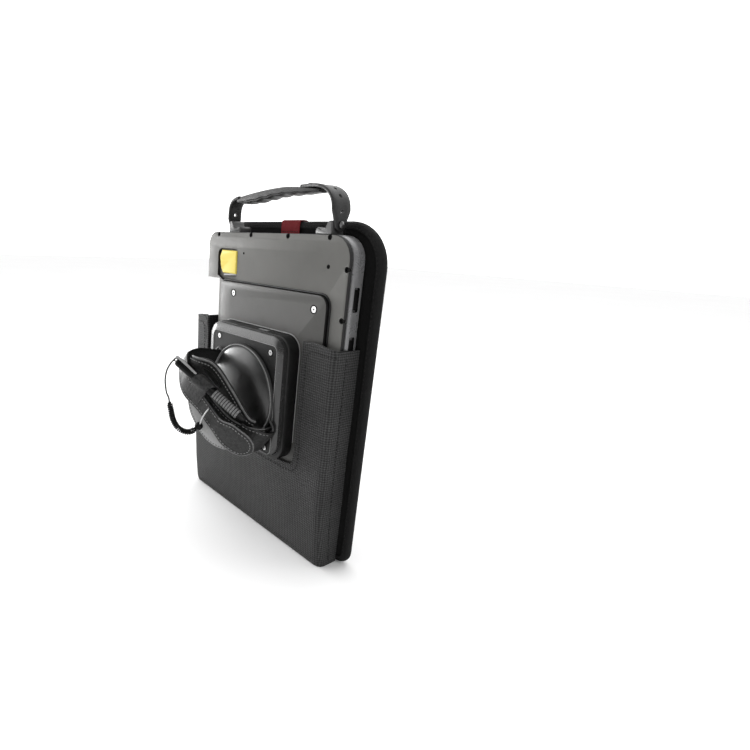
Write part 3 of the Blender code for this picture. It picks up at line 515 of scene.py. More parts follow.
class Band:
    """A strap that follows a path of (along, outward) and spans from one value across to another."""

    def __init__(self, path, across, rows=48, facing=(0, 1)):
        line = smooth_path([(s, h, 0) for s, h in path], rows)
        self.points = [Vector((p.x, p.y)) for p in line]
        self.across = across
        self.rows = rows
        self.length = sum((b - a).length for a, b in zip(self.points, self.points[1:]))
        mid = self._tangent(0.5)
        normal = Vector((-mid.y, mid.x))
        self.sign = 1.0 if normal.dot(Vector(facing)) > 0 else -1.0

    def _spot(self, t):
        x = min(max(t, 0.0), 1.0) * (self.rows - 1)
        i = min(int(x), self.rows - 2)
        return self.points[i].lerp(self.points[i + 1], x - i)

    def _tangent(self, t):
        a, b = self._spot(t - 0.02), self._spot(t + 0.02)
        return (b - a).normalized()

    def at(self, t, w, n=0.0):
        p, tan = self._spot(t), self._tangent(t)
        nrm = Vector((-tan.y, tan.x)) * self.sign
        q = p + nrm * n
        return L(q.x, w, q.y)

    def normal(self, t):
        tan = self._tangent(t)
        nrm = Vector((-tan.y, tan.x)) * self.sign
        return (S * nrm.x + H * nrm.y).normalized()

    def mesh(self, name, material, thick, body=None, crown=0.0, columns=8, edge=1.2, wave=None, rows=None, levels=0, edge_thick=None):
        rings = []
        rows = rows or self.rows
        for i in range(rows):
            t = i / (rows - 1)
            low, high = self.across(t)
            e = min(edge, (high - low) * 0.3)
            et = edge_thick if edge_thick is not None else thick
            ring = []

            def push(w, n):
                lift = wave(t, w) if wave else 0.0
                ring.append(self.at(t, w, n + lift))

            for j in range(columns + 1):
                x = j / columns
                w = low + e + (high - low - 2 * e) * x
                c = 1 - abs(2 * x - 1) ** 2.6
                push(w, crown * c - (thick - et) / 2 * (1 - c))
            push(high - 0.25 * e, -(thick - et) / 2 - et * 0.16)
            push(high, -(thick - et) / 2 - et * 0.5)
            push(high - 0.25 * e, -(thick - et) / 2 - et * 0.84)
            for j in range(columns + 1):
                x = 1 - j / columns
                w = low + e + (high - low - 2 * e) * x
                c = 1 - abs(2 * x - 1) ** 2.6
                push(w, -thick + (thick - et) / 2 * (1 - c) - 0.2 * crown * c)
            push(low + 0.25 * e, -(thick - et) / 2 - et * 0.84)
            push(low, -(thick - et) / 2 - et * 0.5)
            push(low + 0.25 * e, -(thick - et) / 2 - et * 0.16)
            rings.append(ring)
        return lofted(name, rings, material, body, 50.0, levels=levels)

    def edge_line(self, side, inset=0.0, lift=0.0, t0=0.0, t1=1.0, count=40):
        out = []
        for i in range(count):
            t = t0 + (t1 - t0) * i / (count - 1)
            low, high = self.across(t)
            w = high - inset if side > 0 else low + inset
            out.append((self.at(t, w, lift), self.normal(t)))
        return out


def ease(a, b, t):
    t = min(max(t, 0.0), 1.0)
    return a + (b - a) * t * t * (3 - 2 * t)


# ------------------------------------------------------------------ cords: the stylus tether
STYLUS_A, STYLUS_B = Vector((-36.0, 10.0, 54.5)), Vector((36.0, 15.0, 22.0))
sty_dir = (STYLUS_B - STYLUS_A).normalized()
sty_len = (STYLUS_B - STYLUS_A).length
eye = STYLUS_A - sty_dir * 2.4
KNOB = (16.1, -19.5, 43.0)
CORD_TOP = [tuple(eye), (-38.0, 4.0, 57.6), (-35.4, -2.6, 60.2), (-30.2, -8.0, 62.0), (-24.3, -11.0, 63.0), (-18.5, -12.6, 63.8), (-13.8, -12.4, 64.0), (-10.12, -13.83, 64.0)]
COIL = [(-9.8, -14.0, 64.0), (-3.1, -17.5, 64.0), (3.3, -24.0, 62.0), (9.8, -28.4, 58.0), (15.2, -28.1, 52.5), (16.9, -25.2, 47.8), (16.3, -22.15, 45.1)]


def local_path(points, count):
    return [L(*p) for p in smooth_path(points, count)]


top_path = local_path(CORD_TOP, 40)
cord_top = tube("tether_top", top_path, 0.0007, "cord", None, 8)
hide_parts("tether_cord_upper")
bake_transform(cord_top)

coil_path = local_path(COIL, 60)
turns = 26
helix = []
steps = turns * 14
coil_frames = frames_along(coil_path)
for i in range(steps + 1):
    x = i / steps * (len(coil_path) - 1)
    j = min(int(x), len(coil_path) - 2)
    p = coil_path[j].lerp(coil_path[j + 1], x - j)
    t, a, b = coil_frames[j]
    ang = 2 * math.pi * turns * i / steps
    r = 0.0021 * min(1.0, 0.25 + 6 * min(i, steps - i) / steps * 2.2)
    helix.append(p + (a * math.cos(ang) + b * math.sin(ang)) * r)
coil = tube("tether_spring", helix, 0.00074, "cord", "swivel", 6)
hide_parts("tether_coil")

low_path = local_path([(16.2, -17.5, 43.2), (14.8, -12.0, 43.3), (13.4, -6.0, 42.7), (12.6, 0.0, 41.6), (12.4, 2.0, 41.2)], 16)
cord_low = tube("tether_loop", low_path, 0.0006, "cord_light", "swivel", 8)
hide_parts("tether_cord_lower")

knob_rings = []
knob_axis = (L(16.2, -17.0, 43.2) - L(16.3, -22.15, 45.1)).normalized()
ka = knob_axis.orthogonal().normalized()
kb = knob_axis.cross(ka)
for d, r in ((-3.2, 1.4), (-3.0, 2.2), (-2.2, 2.9), (-1.0, 3.1), (-0.6, 2.6), (0.0, 2.6), (0.4, 3.1), (1.6, 2.9), (2.6, 2.0), (3.0, 0.9)):
    knob_rings.append([L(*KNOB) + knob_axis * d * MM + (ka * math.cos(2 * math.pi * k / 18) + kb * math.sin(2 * math.pi * k / 18)) * r * 1.15 * MM for k in range(18)])
knob = lofted("tether_bead", knob_rings, "cord", "swivel")
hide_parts("tether_knob")

# ------------------------------------------------------------------ carried-over CAD nodes
paint("face", "rear_housing")
paint("cover", "expansion_cover")
paint("silver", "front_frame", "tablet_back_shell")
paint("black", "case_seal", "jacket_battery", "scan_engine", "dock_connector", "tablet_battery", "strap_base_block")
paint("key", "volume_rocker", "power_button")
paint("screen", "lcd_panel")
paint("glass", "tablet_glass", "imager_window", "camera_lens")
paint("frame", "strap_base_frame")
paint("plate", "strap_face_plate")
paint("steel", "cover_screw_1", "cover_screw_2", "base_screw_1", "base_screw_2", "base_screw_3", "base_screw_4", "swivel_bolt")
paint("pin", "handle_pin_left", "handle_pin_right")
paint("board_green", "jacket_board", "tablet_mainboard")
paint("gloss", "swivel_dome")
paint("yellow", "scan_button")
paint("board", "holster_board")
paint("liner", "board_liner")
paint("rubber_dark", "stylus_tip")
for n in (
    "rear_housing", "expansion_cover", "front_frame", "tablet_back_shell", "tablet_glass", "strap_base_block",
    "strap_base_frame", "strap_face_plate", "cover_screw_1", "cover_screw_2",
    "base_screw_1", "base_screw_2", "base_screw_3", "base_screw_4", "handle_pin_left", "handle_pin_right",
    "swivel_dome", "swivel_bolt", "holster_board", "stylus_tip", "camera_lens", "volume_rocker",
    "power_button", "scan_button", "jacket_battery",
):
    soften(nodes[n], 40.0)


# ------------------------------------------------------------------ small hard details on the jacket
def disc(verts, faces, centre, radius, depth, axis, sides=16, crown=0.0):
    axis = Vector(axis).normalized()
    a = axis.orthogonal().normalized()
    b = axis.cross(a)
    base = len(verts)
    for d, r in ((0.0, radius), (depth * 0.75, radius), (depth, radius * 0.86)):
        for k in range(sides):
            ang = 2 * math.pi * k / sides
            verts.append(Vector(centre) + axis * d + (a * math.cos(ang) + b * math.sin(ang)) * r)
    for r in range(2):
        for k in range(sides):
            x = base + r * sides
            faces.append((x + k, x + (k + 1) % sides, x + sides + (k + 1) % sides, x + sides + k))
    faces.append(tuple(base + k for k in reversed(range(sides))))
    faces.append(tuple(base + 2 * sides + k for k in range(sides)))


# case screws, sunk in their wells
v, f = [], []
for x, z in [(-74.0, 278.9), (-22.6, 278.9), (27.6, 278.9), (75.0, 278.9)] + [(95.0, z) for z in (255.7, 217.2, 178.0, 139.0, 100.0, 61.0, 24.0)]:
    disc(v, f, P(x, BY - 18.35, z), 1.9 * MM, 1.1 * MM, (0, -1, 0))
case_screws = piece("case_screws", v, f, "dark_steel", "collector")

# black discs on the face for two small holes: painted shade of the holes
v, f = [], []
for x, z, r in ((76.3, 256.8, 1.7), (-32.0, 262.0, 1.2)):
    disc(v, f, P(x, BY - 20.9, z), r * MM, 0.16 * MM, (0, -1, 0))
pin_holes = piece("face_holes", v, f, "painted_hole_shade", "collector")


def rounded(x0, x1, z0, z1, radii, steps=8):
    if not isinstance(radii, (tuple, list)):
        radii = (radii,) * 4
    tl, tr, br, bl = radii
    out = []
    for cx, cz, r, start in ((x1 - tr, z1 - tr, tr, 0), (x0 + tl, z1 - tl, tl, 90), (x0 + bl, z0 + bl, bl, 180), (x1 - br, z0 + br, br, 270)):
        for k in range(steps + 1):
            a = math.radians(start + 90 * k / steps)
            out.append((cx + r * math.cos(a), cz + r * math.sin(a)))
    return out


def outline_tube(name, loop, y, radius, material, body, sides=8):
    return tube(name, [P(x, y, z) for x, z in loop], radius * MM, material, body, sides, closed=True)


BASE = (-53.0, 57.5, 86.5, 198.0)
BASE_FRAME = (-52.0, 54.5, 89.5, 197.0)
BASE_PLATE = (-44.0, 48.3, 92.4, 189.1)


def grown(rect, d):
    return rect[0] - d, rect[1] + d, rect[2] - d, rect[3] + d


# black bead round the expansion cover's edge, darkening the seam between housing and cover
cover_bead = outline_tube("cover_dark_bead", rounded(-62.3, 82.6, 57.2, 235.3, (4, 10, 10, 6.5)), BY - 21.2, 0.95, "black", "collector")
lip_loop = rounded(*grown(BASE, 0.7), 14.7)
lip_line = [(58.2, 104.0), (58.2, 150.0)] + lip_loop[:18][:-2]
foot_lip = tube("strap_base_lip", [P(x, BY - 25.5, z) for x, z in lip_line], 0.5 * MM, "lip", "collector")
frame_line = outline_tube("strap_frame_seam", rounded(*grown(BASE_FRAME, 0.15), 14.1), BY - 37.15, 0.42, "black", "collector")
recess_line = outline_tube("strap_plate_edge", rounded(*grown(BASE_PLATE, 0.55), 5.5), BY - 42.85, 0.4, "rim", "collector")

# black discs in the screw heads and black rings round them: painted shade of the recesses
v, f = [], []
for x, yy, z, r in [(sx, -43.02, sz, 0.6) for sx, sz in ((-35.0, 184.6), (40.6, 183.2), (41.0, 96.8), (-35.0, 96.8))] + [(-40.0, -25.02, 224.3, 0.7), (68.7, -25.02, 222.8, 0.7)]:
    disc(v, f, P(x, BY + yy, z), r * MM, 0.05 * MM, (0, -1, 0), 6)
for k, (x, yy, z, r) in enumerate([(sx, -42.85, sz, 2.75) for sx, sz in ((-35.0, 184.6), (40.6, 183.2), (41.0, 96.8), (-35.0, 96.8))] + [(-40.0, -25.0, 224.3, 3.2), (68.7, -25.0, 222.8, 3.2)]):
    seat = outline_tube(f"screw_seat_{k + 1}", [(x + r * math.cos(2 * math.pi * q / 24), z + r * math.sin(2 * math.pi * q / 24)) for q in range(24)], BY + yy, 0.42, "painted_hole_shade", "collector", 6)
sockets = piece("screw_sockets", v, f, "painted_hole_shade", "collector")

for slot_name, z0, z1 in (("volume_slot_liner", 223.5, 242.5), ("power_slot_liner", 185.5, 204.0)):
    loops_here = []
    for x, inset in ((95.6, 0.02), (97.06, 0.02), (97.06, 0.34), (95.6, 0.34)):
        loops_here.append([P(x, BY + a, b) for a, b in rounded(-12.0 + inset, -6.0 - inset, z0 + inset, z1 - inset, 1.6 - inset, 4)])
    liner_ring = lofted(slot_name, loops_here, "key", "collector", 30.0, closed_path=True)

lip = lofted("scan_key_lip", [[P(x, BY + yy, z + 0.09 * (x + 64)) for yy, z in ((-17.9, 238.6), (-19.6, 238.4), (-20.6, 239.2), (-20.4, 240.6), (-17.9, 240.8))] for x in (-64.0, -58.0, -52.0, -46.0, -42.6)], "lip", "collector")
latch = lofted("base_latch", [[P(x, BY + yy, z) for yy, z in ((-30.6, 197.9), (-30.6, 198.5), (-33.6, 198.5), (-33.6, 197.9))] for x in (12.0, 24.0)], "lip", "collector")

# ------------------------------------------------------------------ holster: sewn nylon pocket
PANEL_Y = ((0, -21.7), (5.2, -23.7), (30, -26.3), (60, -28.0), (120, -28.8), (197, -29.4))


def panel_front(z):
    for (za, ya), (zb, yb) in zip(PANEL_Y, PANEL_Y[1:]):
        if z <= zb:
            return ya + (yb - ya) * (z - za) / (zb - za)
    return PANEL_Y[-1][1]


def pocket_point(u, z, depth=0.0):
    """A point of the pocket's outer skin: u runs round it in mm from the middle of the front, z is height."""
    yf = panel_front(z)
    r = 7.0
    half = 100.0
    side = 1 if u >= 0 else -1
    a = abs(u)
    flat = half - r
    bend = r * math.pi / 2
    if a <= flat:
        x, y, nx, ny = a, yf, 0.0, -1.0
    elif a <= flat + bend:
        ang = (a - flat) / r
        x = flat + r * math.sin(ang)
        y = yf + r * (1 - math.cos(ang))
        nx, ny = math.sin(ang), -math.cos(ang)
    else:
        x, y, nx, ny = half, yf + r + (a - flat - bend), 1.0, 0.0
    x -= depth * nx
    y -= depth * ny
    return P(side * x, BY + y, z), Vector((side * nx, ny, 0))


GUSSET_END = 93.0 + 7.0 * math.pi / 2


def pocket_end(z):
    """How far round the skin runs before it meets the board."""
    return GUSSET_END + (-0.9 - (panel_front(z) + 7.0))


def ripple(x, y, z, scale, seed):
    return noise.noise(Vector((x * scale + seed, y * scale - seed, z * scale + 3.1 * seed)))


us = []
front = [-93, -88, -82, -76, -70, -60, -48, -36, -24, -12, 0, 12, 24, 36, 48, 58, 64.5, 70, 76, 82, 88, 93]
zs = [0.15, 2.5, 6, 10, 15, 22, 30, 40, 50, 60, 70, 78, 83, 90, 98, 106, 115, 125, 135, 145, 155, 165, 175, 183, 189, 193.2, 196.4]
bends = [93 + 7.0 * math.pi / 2 * k / 6 for k in range(1, 7)]


def skin_rows():
    rows = []
    for z in zs:
        end = pocket_end(z)
        side = [bends[-1] + (end - bends[-1]) * k / 4 for k in range(1, 5)]
        right_part = bends + side
        rows.append([-a for a in reversed(right_part)] + front + right_part)
    return rows


def skin_shift(u, z, p):
    """Soft unevenness of stiffened cloth: flat where it is sewn, a little pillowed between."""
    free = min(1.0, abs(abs(u) - 100) / 14) * min(1.0, z / 16) * min(1.0, abs(z - 196) / 10)
    return free * (0.55 * ripple(u, 0, z, 0.023, 1.7) + 0.22 * ripple(u, 0, z, 0.07, 5.2))


outer, inner = [], []
rows = skin_rows()
for z, row in zip(zs, rows):
    o_row, i_row = [], []
    for u in row:
        zz = z
        if abs(u) > 93 and z > 193:
            zz = min(z, 193.4)
        elif z > 196 and abs(u) > 86:
            zz = 195.6
        p, n = pocket_point(u, zz)
        d = skin_shift(u, zz, p)
        o_row.append(p + n * (min(d, 0.55) - 0.15) * MM)
        q, n = pocket_point(u, zz, 2.0)
        i_row.append(q + n * (min(d, 0.3) - 0.1) * MM)
    outer.append(o_row)
    inner.append(i_row)
cols = len(rows[0])
verts = [p for r in outer for p in r] + [p for r in inner for p in r]
off = len(zs) * cols
faces = []


def kept(i, j):
    """Cells of the skin that aren't in the opening cut for the strap."""
    u0, u1 = rows[i][j], rows[i][j + 1]
    return not (zs[i] >= 83 and u0 >= -76 and u1 <= 64.5)


edges_used = {}
for i in range(len(zs) - 1):
    for j in range(cols - 1):
        if not kept(i, j):
            continue
        quad = (i * cols + j, i * cols + j + 1, (i + 1) * cols + j + 1, (i + 1) * cols + j)
        faces.append(quad)
        faces.append(tuple(off + k for k in reversed(quad)))
        for a, b in zip(quad, quad[1:] + quad[:1]):
            edges_used[(a, b)] = True
for (a, b) in list(edges_used):
    if (b, a) not in edges_used:
        faces.append((b, a, off + a, off + b))
# round the two lower corners of the opening
for cx, cz, sx in ((-76.0, 83.0, 1), (64.5, 83.0, -1)):
    for i, z in enumerate(zs):
        for j, u in enumerate(rows[i]):
            if z == 83 and abs(u - cx) < 0.01:
                for base in (0, off):
                    verts[base + i * cols + j] += P(sx * 2.6, 0, 2.6)
pocket = piece("pocket_shell", verts, faces, "pocket", None, 42.0)
pocket.data.materials.append(M["gusset"])
for poly in pocket.data.polygons:
    if abs(poly.normal.x) > 0.72:
        poly.material_index = 1
mod = pocket.modifiers.new("soft_edge", "BEVEL")
mod.width = 0.7 * MM
mod.segments = 2
mod.limit_method = "ANGLE"
mod.angle_limit = math.radians(50)
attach(pocket, "holster")
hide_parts("pocket_front", "pocket_gusset_left", "pocket_gusset_right")
paint("pocket", "pocket_base")


def skin_line(points, lift=0.25):
    """A line on the pocket's skin through (u, z) points."""
    out = []
    for (u0, z0), (u1, z1) in zip(points, points[1:]):
        n = max(2, int(math.hypot(u1 - u0, z1 - z0) / 3))
        for k in range(n):
            u, z = u0 + (u1 - u0) * k / n, z0 + (z1 - z0) * k / n
            p, nn = pocket_point(u, z)
            out.append((p + nn * lift * MM, nn))
    p, nn = pocket_point(*points[-1])
    out.append((p + nn * lift * MM, nn))
    return out


# hems: a folded tape round the opening and along the arms' tops, with its row of stitches
hem_path = [(112, 193.2), (100, 193.6), (92, 194.6), (86, 195.6), (76, 196.2), (68.5, 195.2), (65.2, 190), (64.6, 180), (64.6, 140), (64.6, 98), (63.6, 89), (60.5, 84.2), (52, 83.0), (0, 83.0), (-62, 83.0), (-71.5, 84.2), (-75.2, 89), (-76.2, 98), (-76.2, 180), (-77, 190), (-80.5, 195.2), (-88, 196.0), (-96, 194.8), (-112, 193.2)]
hem = []
for (u0, z0), (u1, z1) in zip(hem_path, hem_path[1:]):
    n = max(1, int(math.hypot(u1 - u0, z1 - z0) / 4))
    for k in range(n):
        u, z = u0 + (u1 - u0) * k / n, z0 + (z1 - z0) * k / n
        hem.append((u, min(z, 196.2)))
hem.append(hem_path[-1])
hem_points = [pocket_point(u, z, 1.05)[0] for u, z in hem]
hem_roll = tube("pocket_hem", hem_points, 1.25 * MM, "pocket", "holster", 10)
stitch_path = [(101, 188.6), (92, 189.2), (76, 190.5), (70.5, 187), (69.5, 178), (69.5, 100), (68.5, 86), (63, 79.2), (52, 78.2), (0, 78.2), (-66, 78.2), (-76, 79.2), (-81, 86), (-81.2, 100), (-81.2, 178), (-82.5, 187), (-88, 190), (-96, 189.4)]
stitches("pocket_hem_stitch", skin_line(stitch_path, 0.15), "thread_dark", "holster", 0.0034, 0.0022, 0.0003)
for sgn in (-1, 1):
    stitches(f"gusset_stitch_{'right' if sgn > 0 else 'left'}", skin_line([(sgn * 109.5, 4), (sgn * 109.8, 60), (sgn * 110, 188)], 0.15), "thread_dark", "holster", 0.0034, 0.0022, 0.0003)
stitches("pocket_foot_stitch", skin_line([(-92, 5.5), (0, 5.5), (92, 5.5)], 0.15), "thread_dark", "holster", 0.0034, 0.0022, 0.0003)

# ------------------------------------------------------------------ holster: bound edge of the stiff board
bx0, bx1, bz0, bz1 = -98.0, 111.5, 0.3, 292.0


def offset_loop(inset):
    return rounded(bx0 + inset, bx1 - inset, bz0 + inset, bz1 - inset, (36 - inset, 36 - inset, 12 - inset, 12 - inset), 14)


def dense_loop(loop, step=9.0):
    out = []
    for (x0, z0), (x1, z1) in zip(loop, loop[1:] + loop[:1]):
        n = max(1, int(math.hypot(x1 - x0, z1 - z0) / step))
        for k in range(n):
            out.append((x0 + (x1 - x0) * k / n, z0 + (z1 - z0) * k / n))
    return out


section = []
for k in range(13):
    a = math.radians(-90 + 180 * k / 12)
    section.append((4.35 - 4.35 * abs(math.cos(a)) ** 0.8, 3.5 + 4.35 * math.sin(a)))
section = [(6.0, -0.75)] + section + [(6.0, 7.75), (6.0, 7.35), (1.6, 7.3), (1.4, 3.5), (1.6, -0.3), (6.0, -0.35)]
base_loop = dense_loop(offset_loop(0.0))
# the same corner points at every inset, so that the sections line up
rings = []
loops = {}
for inset, yy in section:
    pts = []
    for x, z in dense_loop(offset_loop(0.001)):
        cx = min(max(x, bx0 + 36), bx1 - 36) if z > bz1 - 36 else min(max(x, bx0 + 12), bx1 - 12)
        cz = min(max(z, bz0 + 12), bz1 - 36)
        if z > bz1 - 36 or z < bz0 + 12 or x < bx0 + 12 or x > bx1 - 12:
            pass
        d = Vector((x - cx, z - cz))
        if d.length < 1e-6:
            d = Vector((1, 0)) if x > 0 else Vector((-1, 0))
        if abs(x - bx0) < 0.01:
            d = Vector((-1, 0))
        elif abs(x - bx1) < 0.01:
            d = Vector((1, 0))
        elif abs(z - bz0) < 0.01:
            d = Vector((0, -1))
        elif abs(z - bz1) < 0.01:
            d = Vector((0, 1))
        d.normalize()
        pts.append(P(x - d.x * inset, BY + yy, z - d.y * inset))
    loops[(inset, yy)] = pts
rings = [[loops[s][i] for s in section] for i in range(len(base_loop))] if len(base_loop) == len(loops[section[0]]) else [[loops[s][i] for s in section] for i in range(len(loops[section[0]]))]
binding = lofted("board_edge", rings, "tape", "holster", 45.0, closed_path=True)
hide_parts("board_binding")
for face_side, yy in (("front", -0.95), ("back", 7.95)):
    line = []
    for x, z in dense_loop(offset_loop(4.6), 3.0):
        line.append((P(x, BY + yy, z), Vector((0, -1 if yy < 0 else 1, 0))))
    line.append(line[0])
    stitches(f"board_stitch_{face_side}", line, "thread_dark", "holster", 0.0036, 0.0022, 0.0003)

# red pull tab folded over the board's top
tab_rings = []
for k in range(13):
    x = -3.0 + 23.5 * k / 12
    prof_out = [(-1.75, 281.3), (-1.95, 285.0), (-1.9, 289.6), (-1.3, 292.2), (0.6, 293.15), (3.5, 293.2), (6.4, 293.15), (8.3, 292.2), (8.9, 289.6), (8.9, 285.0), (8.7, 281.3)]
    prof_in = [(8.1, 281.3), (8.2, 289.0), (7.4, 291.9), (3.5, 292.3), (-0.4, 291.9), (-1.2, 289.0), (-1.15, 281.3)]
    soft = 0.12 * math.sin(k * 1.7)
    tab_rings.append([P(x, BY + y + (soft if abs(y) < 3 else 0) * 0.3, z) for y, z in prof_out + prof_in])
tab = lofted("pull_tab", tab_rings, "red", "holster", 40.0)
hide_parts("red_tab")
stitches("pull_tab_stitch", [(P(-2.0 + 21.5 * k / 8, BY - 2.0, 283.0), Vector((0, -1, 0))) for k in range(9)], "thread_dark", "holster", 0.003, 0.002, 0.00028)

# ------------------------------------------------------------------ hand strap
OUTER_PATH = [(-48.5, 35.5), (-45, 38.2), (-40, 40.6), (-33, 43.2), (-24, 45.6), (-14, 45.6), (-5, 43.8), (5, 41.4), (14, 39.6), (24.6, 37.5)]
FLAP_PATH = [(24.2, 37.6), (31, 35.6), (38, 32.2), (44, 28.4), (50, 24.0), (55, 20.0), (58.5, 16.5)]
LOWER_PATH = [(47.6, -2.6), (47.6, 5.5), (45.2, 12), (39, 19), (31, 24.3), (20, 29.2), (6, 33.6), (-8, 36.2)]
WEBBING_PATH = [(-47.6, -2.6), (-50.2, 9), (-52.4, 19), (-51.9, 27), (-49.6, 33.6)]
PAD_PATH = [(39.5, 10.5), (36, 15.5), (27, 20), (15, 23.5), (4, 25), (-7, 26), (-16, 27.8), (-22, 30.8), (-27, 34.4), (-32, 36.8), (-37, 37.3), (-40.5, 36.4)]
PANEL_PATH = [(44, 23.2), (38, 27.2), (30, 31.0), (20, 33.6), (8, 35.6), (-4, 38.2), (-14, 40.2)]


def round_end(t, low, high, start=0.62):
    if t > start:
        k = math.sqrt(max(0.0, 1 - ((t - start) / (1.004 - start)) ** 2))
        middle, half = (low + high) / 2, (high - low) / 2
        return middle - half * k, middle + half * k
    return low, high


def flap_across(t):
    return round_end(t, ease(-13.4, -18.0, t * 2), ease(4.6, 12.0, t * 2.6))


def crease(seed, size=0.5, scale=0.09):
    return lambda t, w: size * ripple(t * 90, w, 0, scale, seed)


def turn_about(profile, count=96):
    """Sections of a (radius, outward) profile turned about the swivel's axis."""
    out = []
    for k in range(count):
        a = 2 * math.pi * k / count
        out.append([C + (S * math.cos(a) + W * math.sin(a)) * r * MM + H * h * MM for r, h in profile])
    return out


turntable = lofted("turntable", turn_about([(44.5, -2.6), (44.5, -0.6), (44.2, 0.1), (43.6, 0.5), (42.9, 0.45), (42.2, 0.1), (40.2, -0.3), (38.4, -0.7), (38.4, -2.6)]), "ring", "swivel", 32.0, closed_path=True)
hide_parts("swivel_ring")
ring_lip = lofted("turntable_lip", turn_about([(43.9 + 0.42 * math.cos(2 * math.pi * k / 8), 0.35 + 0.42 * math.sin(2 * math.pi * k / 8)) for k in range(8)]), "rim", "swivel", 60.0, closed_path=True)
dome_shell = lofted("dome_shell", turn_about([(0.02, 7.3), (8.0, 7.2), (16.0, 6.8), (23.0, 6.1), (29.0, 5.1), (34.0, 3.9), (38.0, 2.5), (40.6, 1.3), (41.8, 0.5), (42.1, 0.0), (41.6, -0.3), (0.02, -0.3)]), "gloss", "swivel", 40.0, closed_path=True)
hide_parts("swivel_dome")
for bar_name, sgn, w0, w1 in (("strap_bar_lower", 1, -18.6, 16.6), ("strap_bar_upper", -1, -18.6, 4.2)):
    bar_path = smooth_path([L(sgn * 40.5, w0 - 0.6, -0.9), L(sgn * 46.0, w0 - 0.4, -0.8), L(sgn * 50.0, w0 + 0.6, -0.7), L(sgn * 50.9, w0 + 3.0, -0.7), L(sgn * 50.9, (w0 + w1) / 2, -0.7), L(sgn * 50.9, w1 - 3.0, -0.7), L(sgn * 50.0, w1 - 0.6, -0.7), L(sgn * 46.0, w1 + 0.4, -0.8), L(sgn * 40.5, w1 + 0.6, -0.9)], 40)
    bar = tube(bar_name, bar_path, 1.05 * MM, "ring", "swivel", 10)

outer_band = Band(OUTER_PATH, lambda t: (ease(-17.0, -13.4, (t - 0.42) / 0.35), 4.0 + 0.6 * t))
o = outer_band.mesh("hand_band", "leather", 1.8, "swivel", 0.25, 8, 1.0, crease(2.2, 0.35))
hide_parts("strap_outer_band")

flap_band = Band(FLAP_PATH, flap_across, 60)
o = flap_band.mesh("hand_band_tongue", "leather", 1.8, None, 0.5, 8, 1.1, crease(4.1, 0.3), rows=60)
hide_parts("strap_flap")
FLAP_BLEND = ("swivel", "flap", tuple(L(21.0, 0, 38.4)), tuple(L(31.0, 0, 35.6)))
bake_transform(o)

lower_band = Band(LOWER_PATH, lambda t: (-16.0, ease(14.0, 3.6, t / 0.62)), facing=(1, 1))
o = lower_band.mesh("lower_band", "leather", 1.8, "swivel", 0.2, 8, 1.0, crease(6.3, 0.3))
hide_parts("strap_lower_band")

FOLD_PATH = [(48.2, -2.7), (50.6, -2.8), (52.8, -2.3), (53.9, -0.6), (53.6, 2.6), (51.6, 8.2), (47.8, 13.4), (42.4, 18.6), (36.5, 22.7)]
fold_band = Band(FOLD_PATH, lambda t: (-16.3, ease(14.3, 10.5, (t - 0.45) / 0.55)), facing=(1, 0))
o = fold_band.mesh("lower_band_fold", "leather", 1.4, "swivel", 0.15, 8, 0.9, crease(3.3, 0.2))
stitches("fold_stitch", fold_band.edge_line(1, 2.0, 0.15, 0.3, 0.97), "thread", "swivel")

webbing_band = Band(WEBBING_PATH, lambda t: (-17.0, 2.8), facing=(-1, 0))
o = webbing_band.mesh("upper_webbing", "webbing", 1.6, "swivel", 0.0, 6, 0.5)
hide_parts("strap_webbing")


def pad_across(t):
    late = max(0.0, (t - 0.76) / 0.24)
    return (-22.0 + 5.0 * late**1.5, ease(13.0, 21.0, t / 0.4) - 12.5 * late**1.4)


pad_band = Band(PAD_PATH, pad_across, 44)
pad = pad_band.mesh("hand_pad", "pad", 6.0, "swivel", 0.9, 12, 2.2, crease(8.8, 0.7, 0.05), edge_thick=3.2)
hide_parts("strap_pad")

panel_band = Band(PANEL_PATH, lambda t: (-15.5 - 12.0 * math.sin(math.pi * min(1.0, max(0.0, 0.06 + 0.90 * t))) ** 0.6, -6.0))


def panel_curl(t, w):
    """The free side of the loop panel turns up away from the pad."""
    return 5.6 * ease(0.0, 1.0, (-11.0 - w) / 14.0) * math.sin(math.pi * min(1.0, max(0.0, 0.05 + 0.93 * t))) ** 0.5


o = panel_band.mesh("loop_panel", "loop", 1.2, "swivel", 0.1, 12, 0.6, panel_curl)
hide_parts("strap_loop_panel")


# piping beads and stitch rows
def bead(name, line, radius, material, body="swivel", blend=None):
    o = tube(name, [p for p, _ in line], radius * MM, material, None if blend else body, 8)
    if blend:
        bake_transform(o)
    return o


# the pad's upper piping in the lighter copy and its lower piping in the darker: painted highlight above, painted shade
# below
bead("pad_piping_upper", pad_band.edge_line(1, 0.5, -1.0), 0.95, "piping_highlit")
bead("pad_piping_lower", pad_band.edge_line(-1, 0.5, -1.0), 0.95, "piping_dark")
stitches("pad_stitch_upper", pad_band.edge_line(1, 3.6, 0.35), "thread", "swivel")
stitches("pad_stitch_lower", pad_band.edge_line(-1, 3.6, 0.35), "thread", "swivel")
bead("band_edge_upper", outer_band.edge_line(1, 0.2, -0.5), 0.55, "piping_dark")
bead("band_edge_lower", outer_band.edge_line(-1, 0.2, -0.5), 0.55, "piping_dark")
stitches("band_stitch_upper", outer_band.edge_line(1, 2.6, 0.1, 0.08, 0.97), "thread", "swivel")
stitches("band_stitch_lower", outer_band.edge_line(-1, 2.6, 0.1, 0.08, 0.97), "thread", "swivel")
# upper edge piping in the lighter copy: painted highlight
bead("lower_band_piping", lower_band.edge_line(1, 0.3, -0.4, 0.1, 0.9), 0.75, "piping_highlit")
stitches("lower_band_stitch", lower_band.edge_line(1, 2.8, 0.1, 0.08, 0.8), "thread", "swivel")
stitches("lower_band_stitch_low", lower_band.edge_line(-1, 2.4, 0.1, 0.08, 0.8), "thread", "swivel")


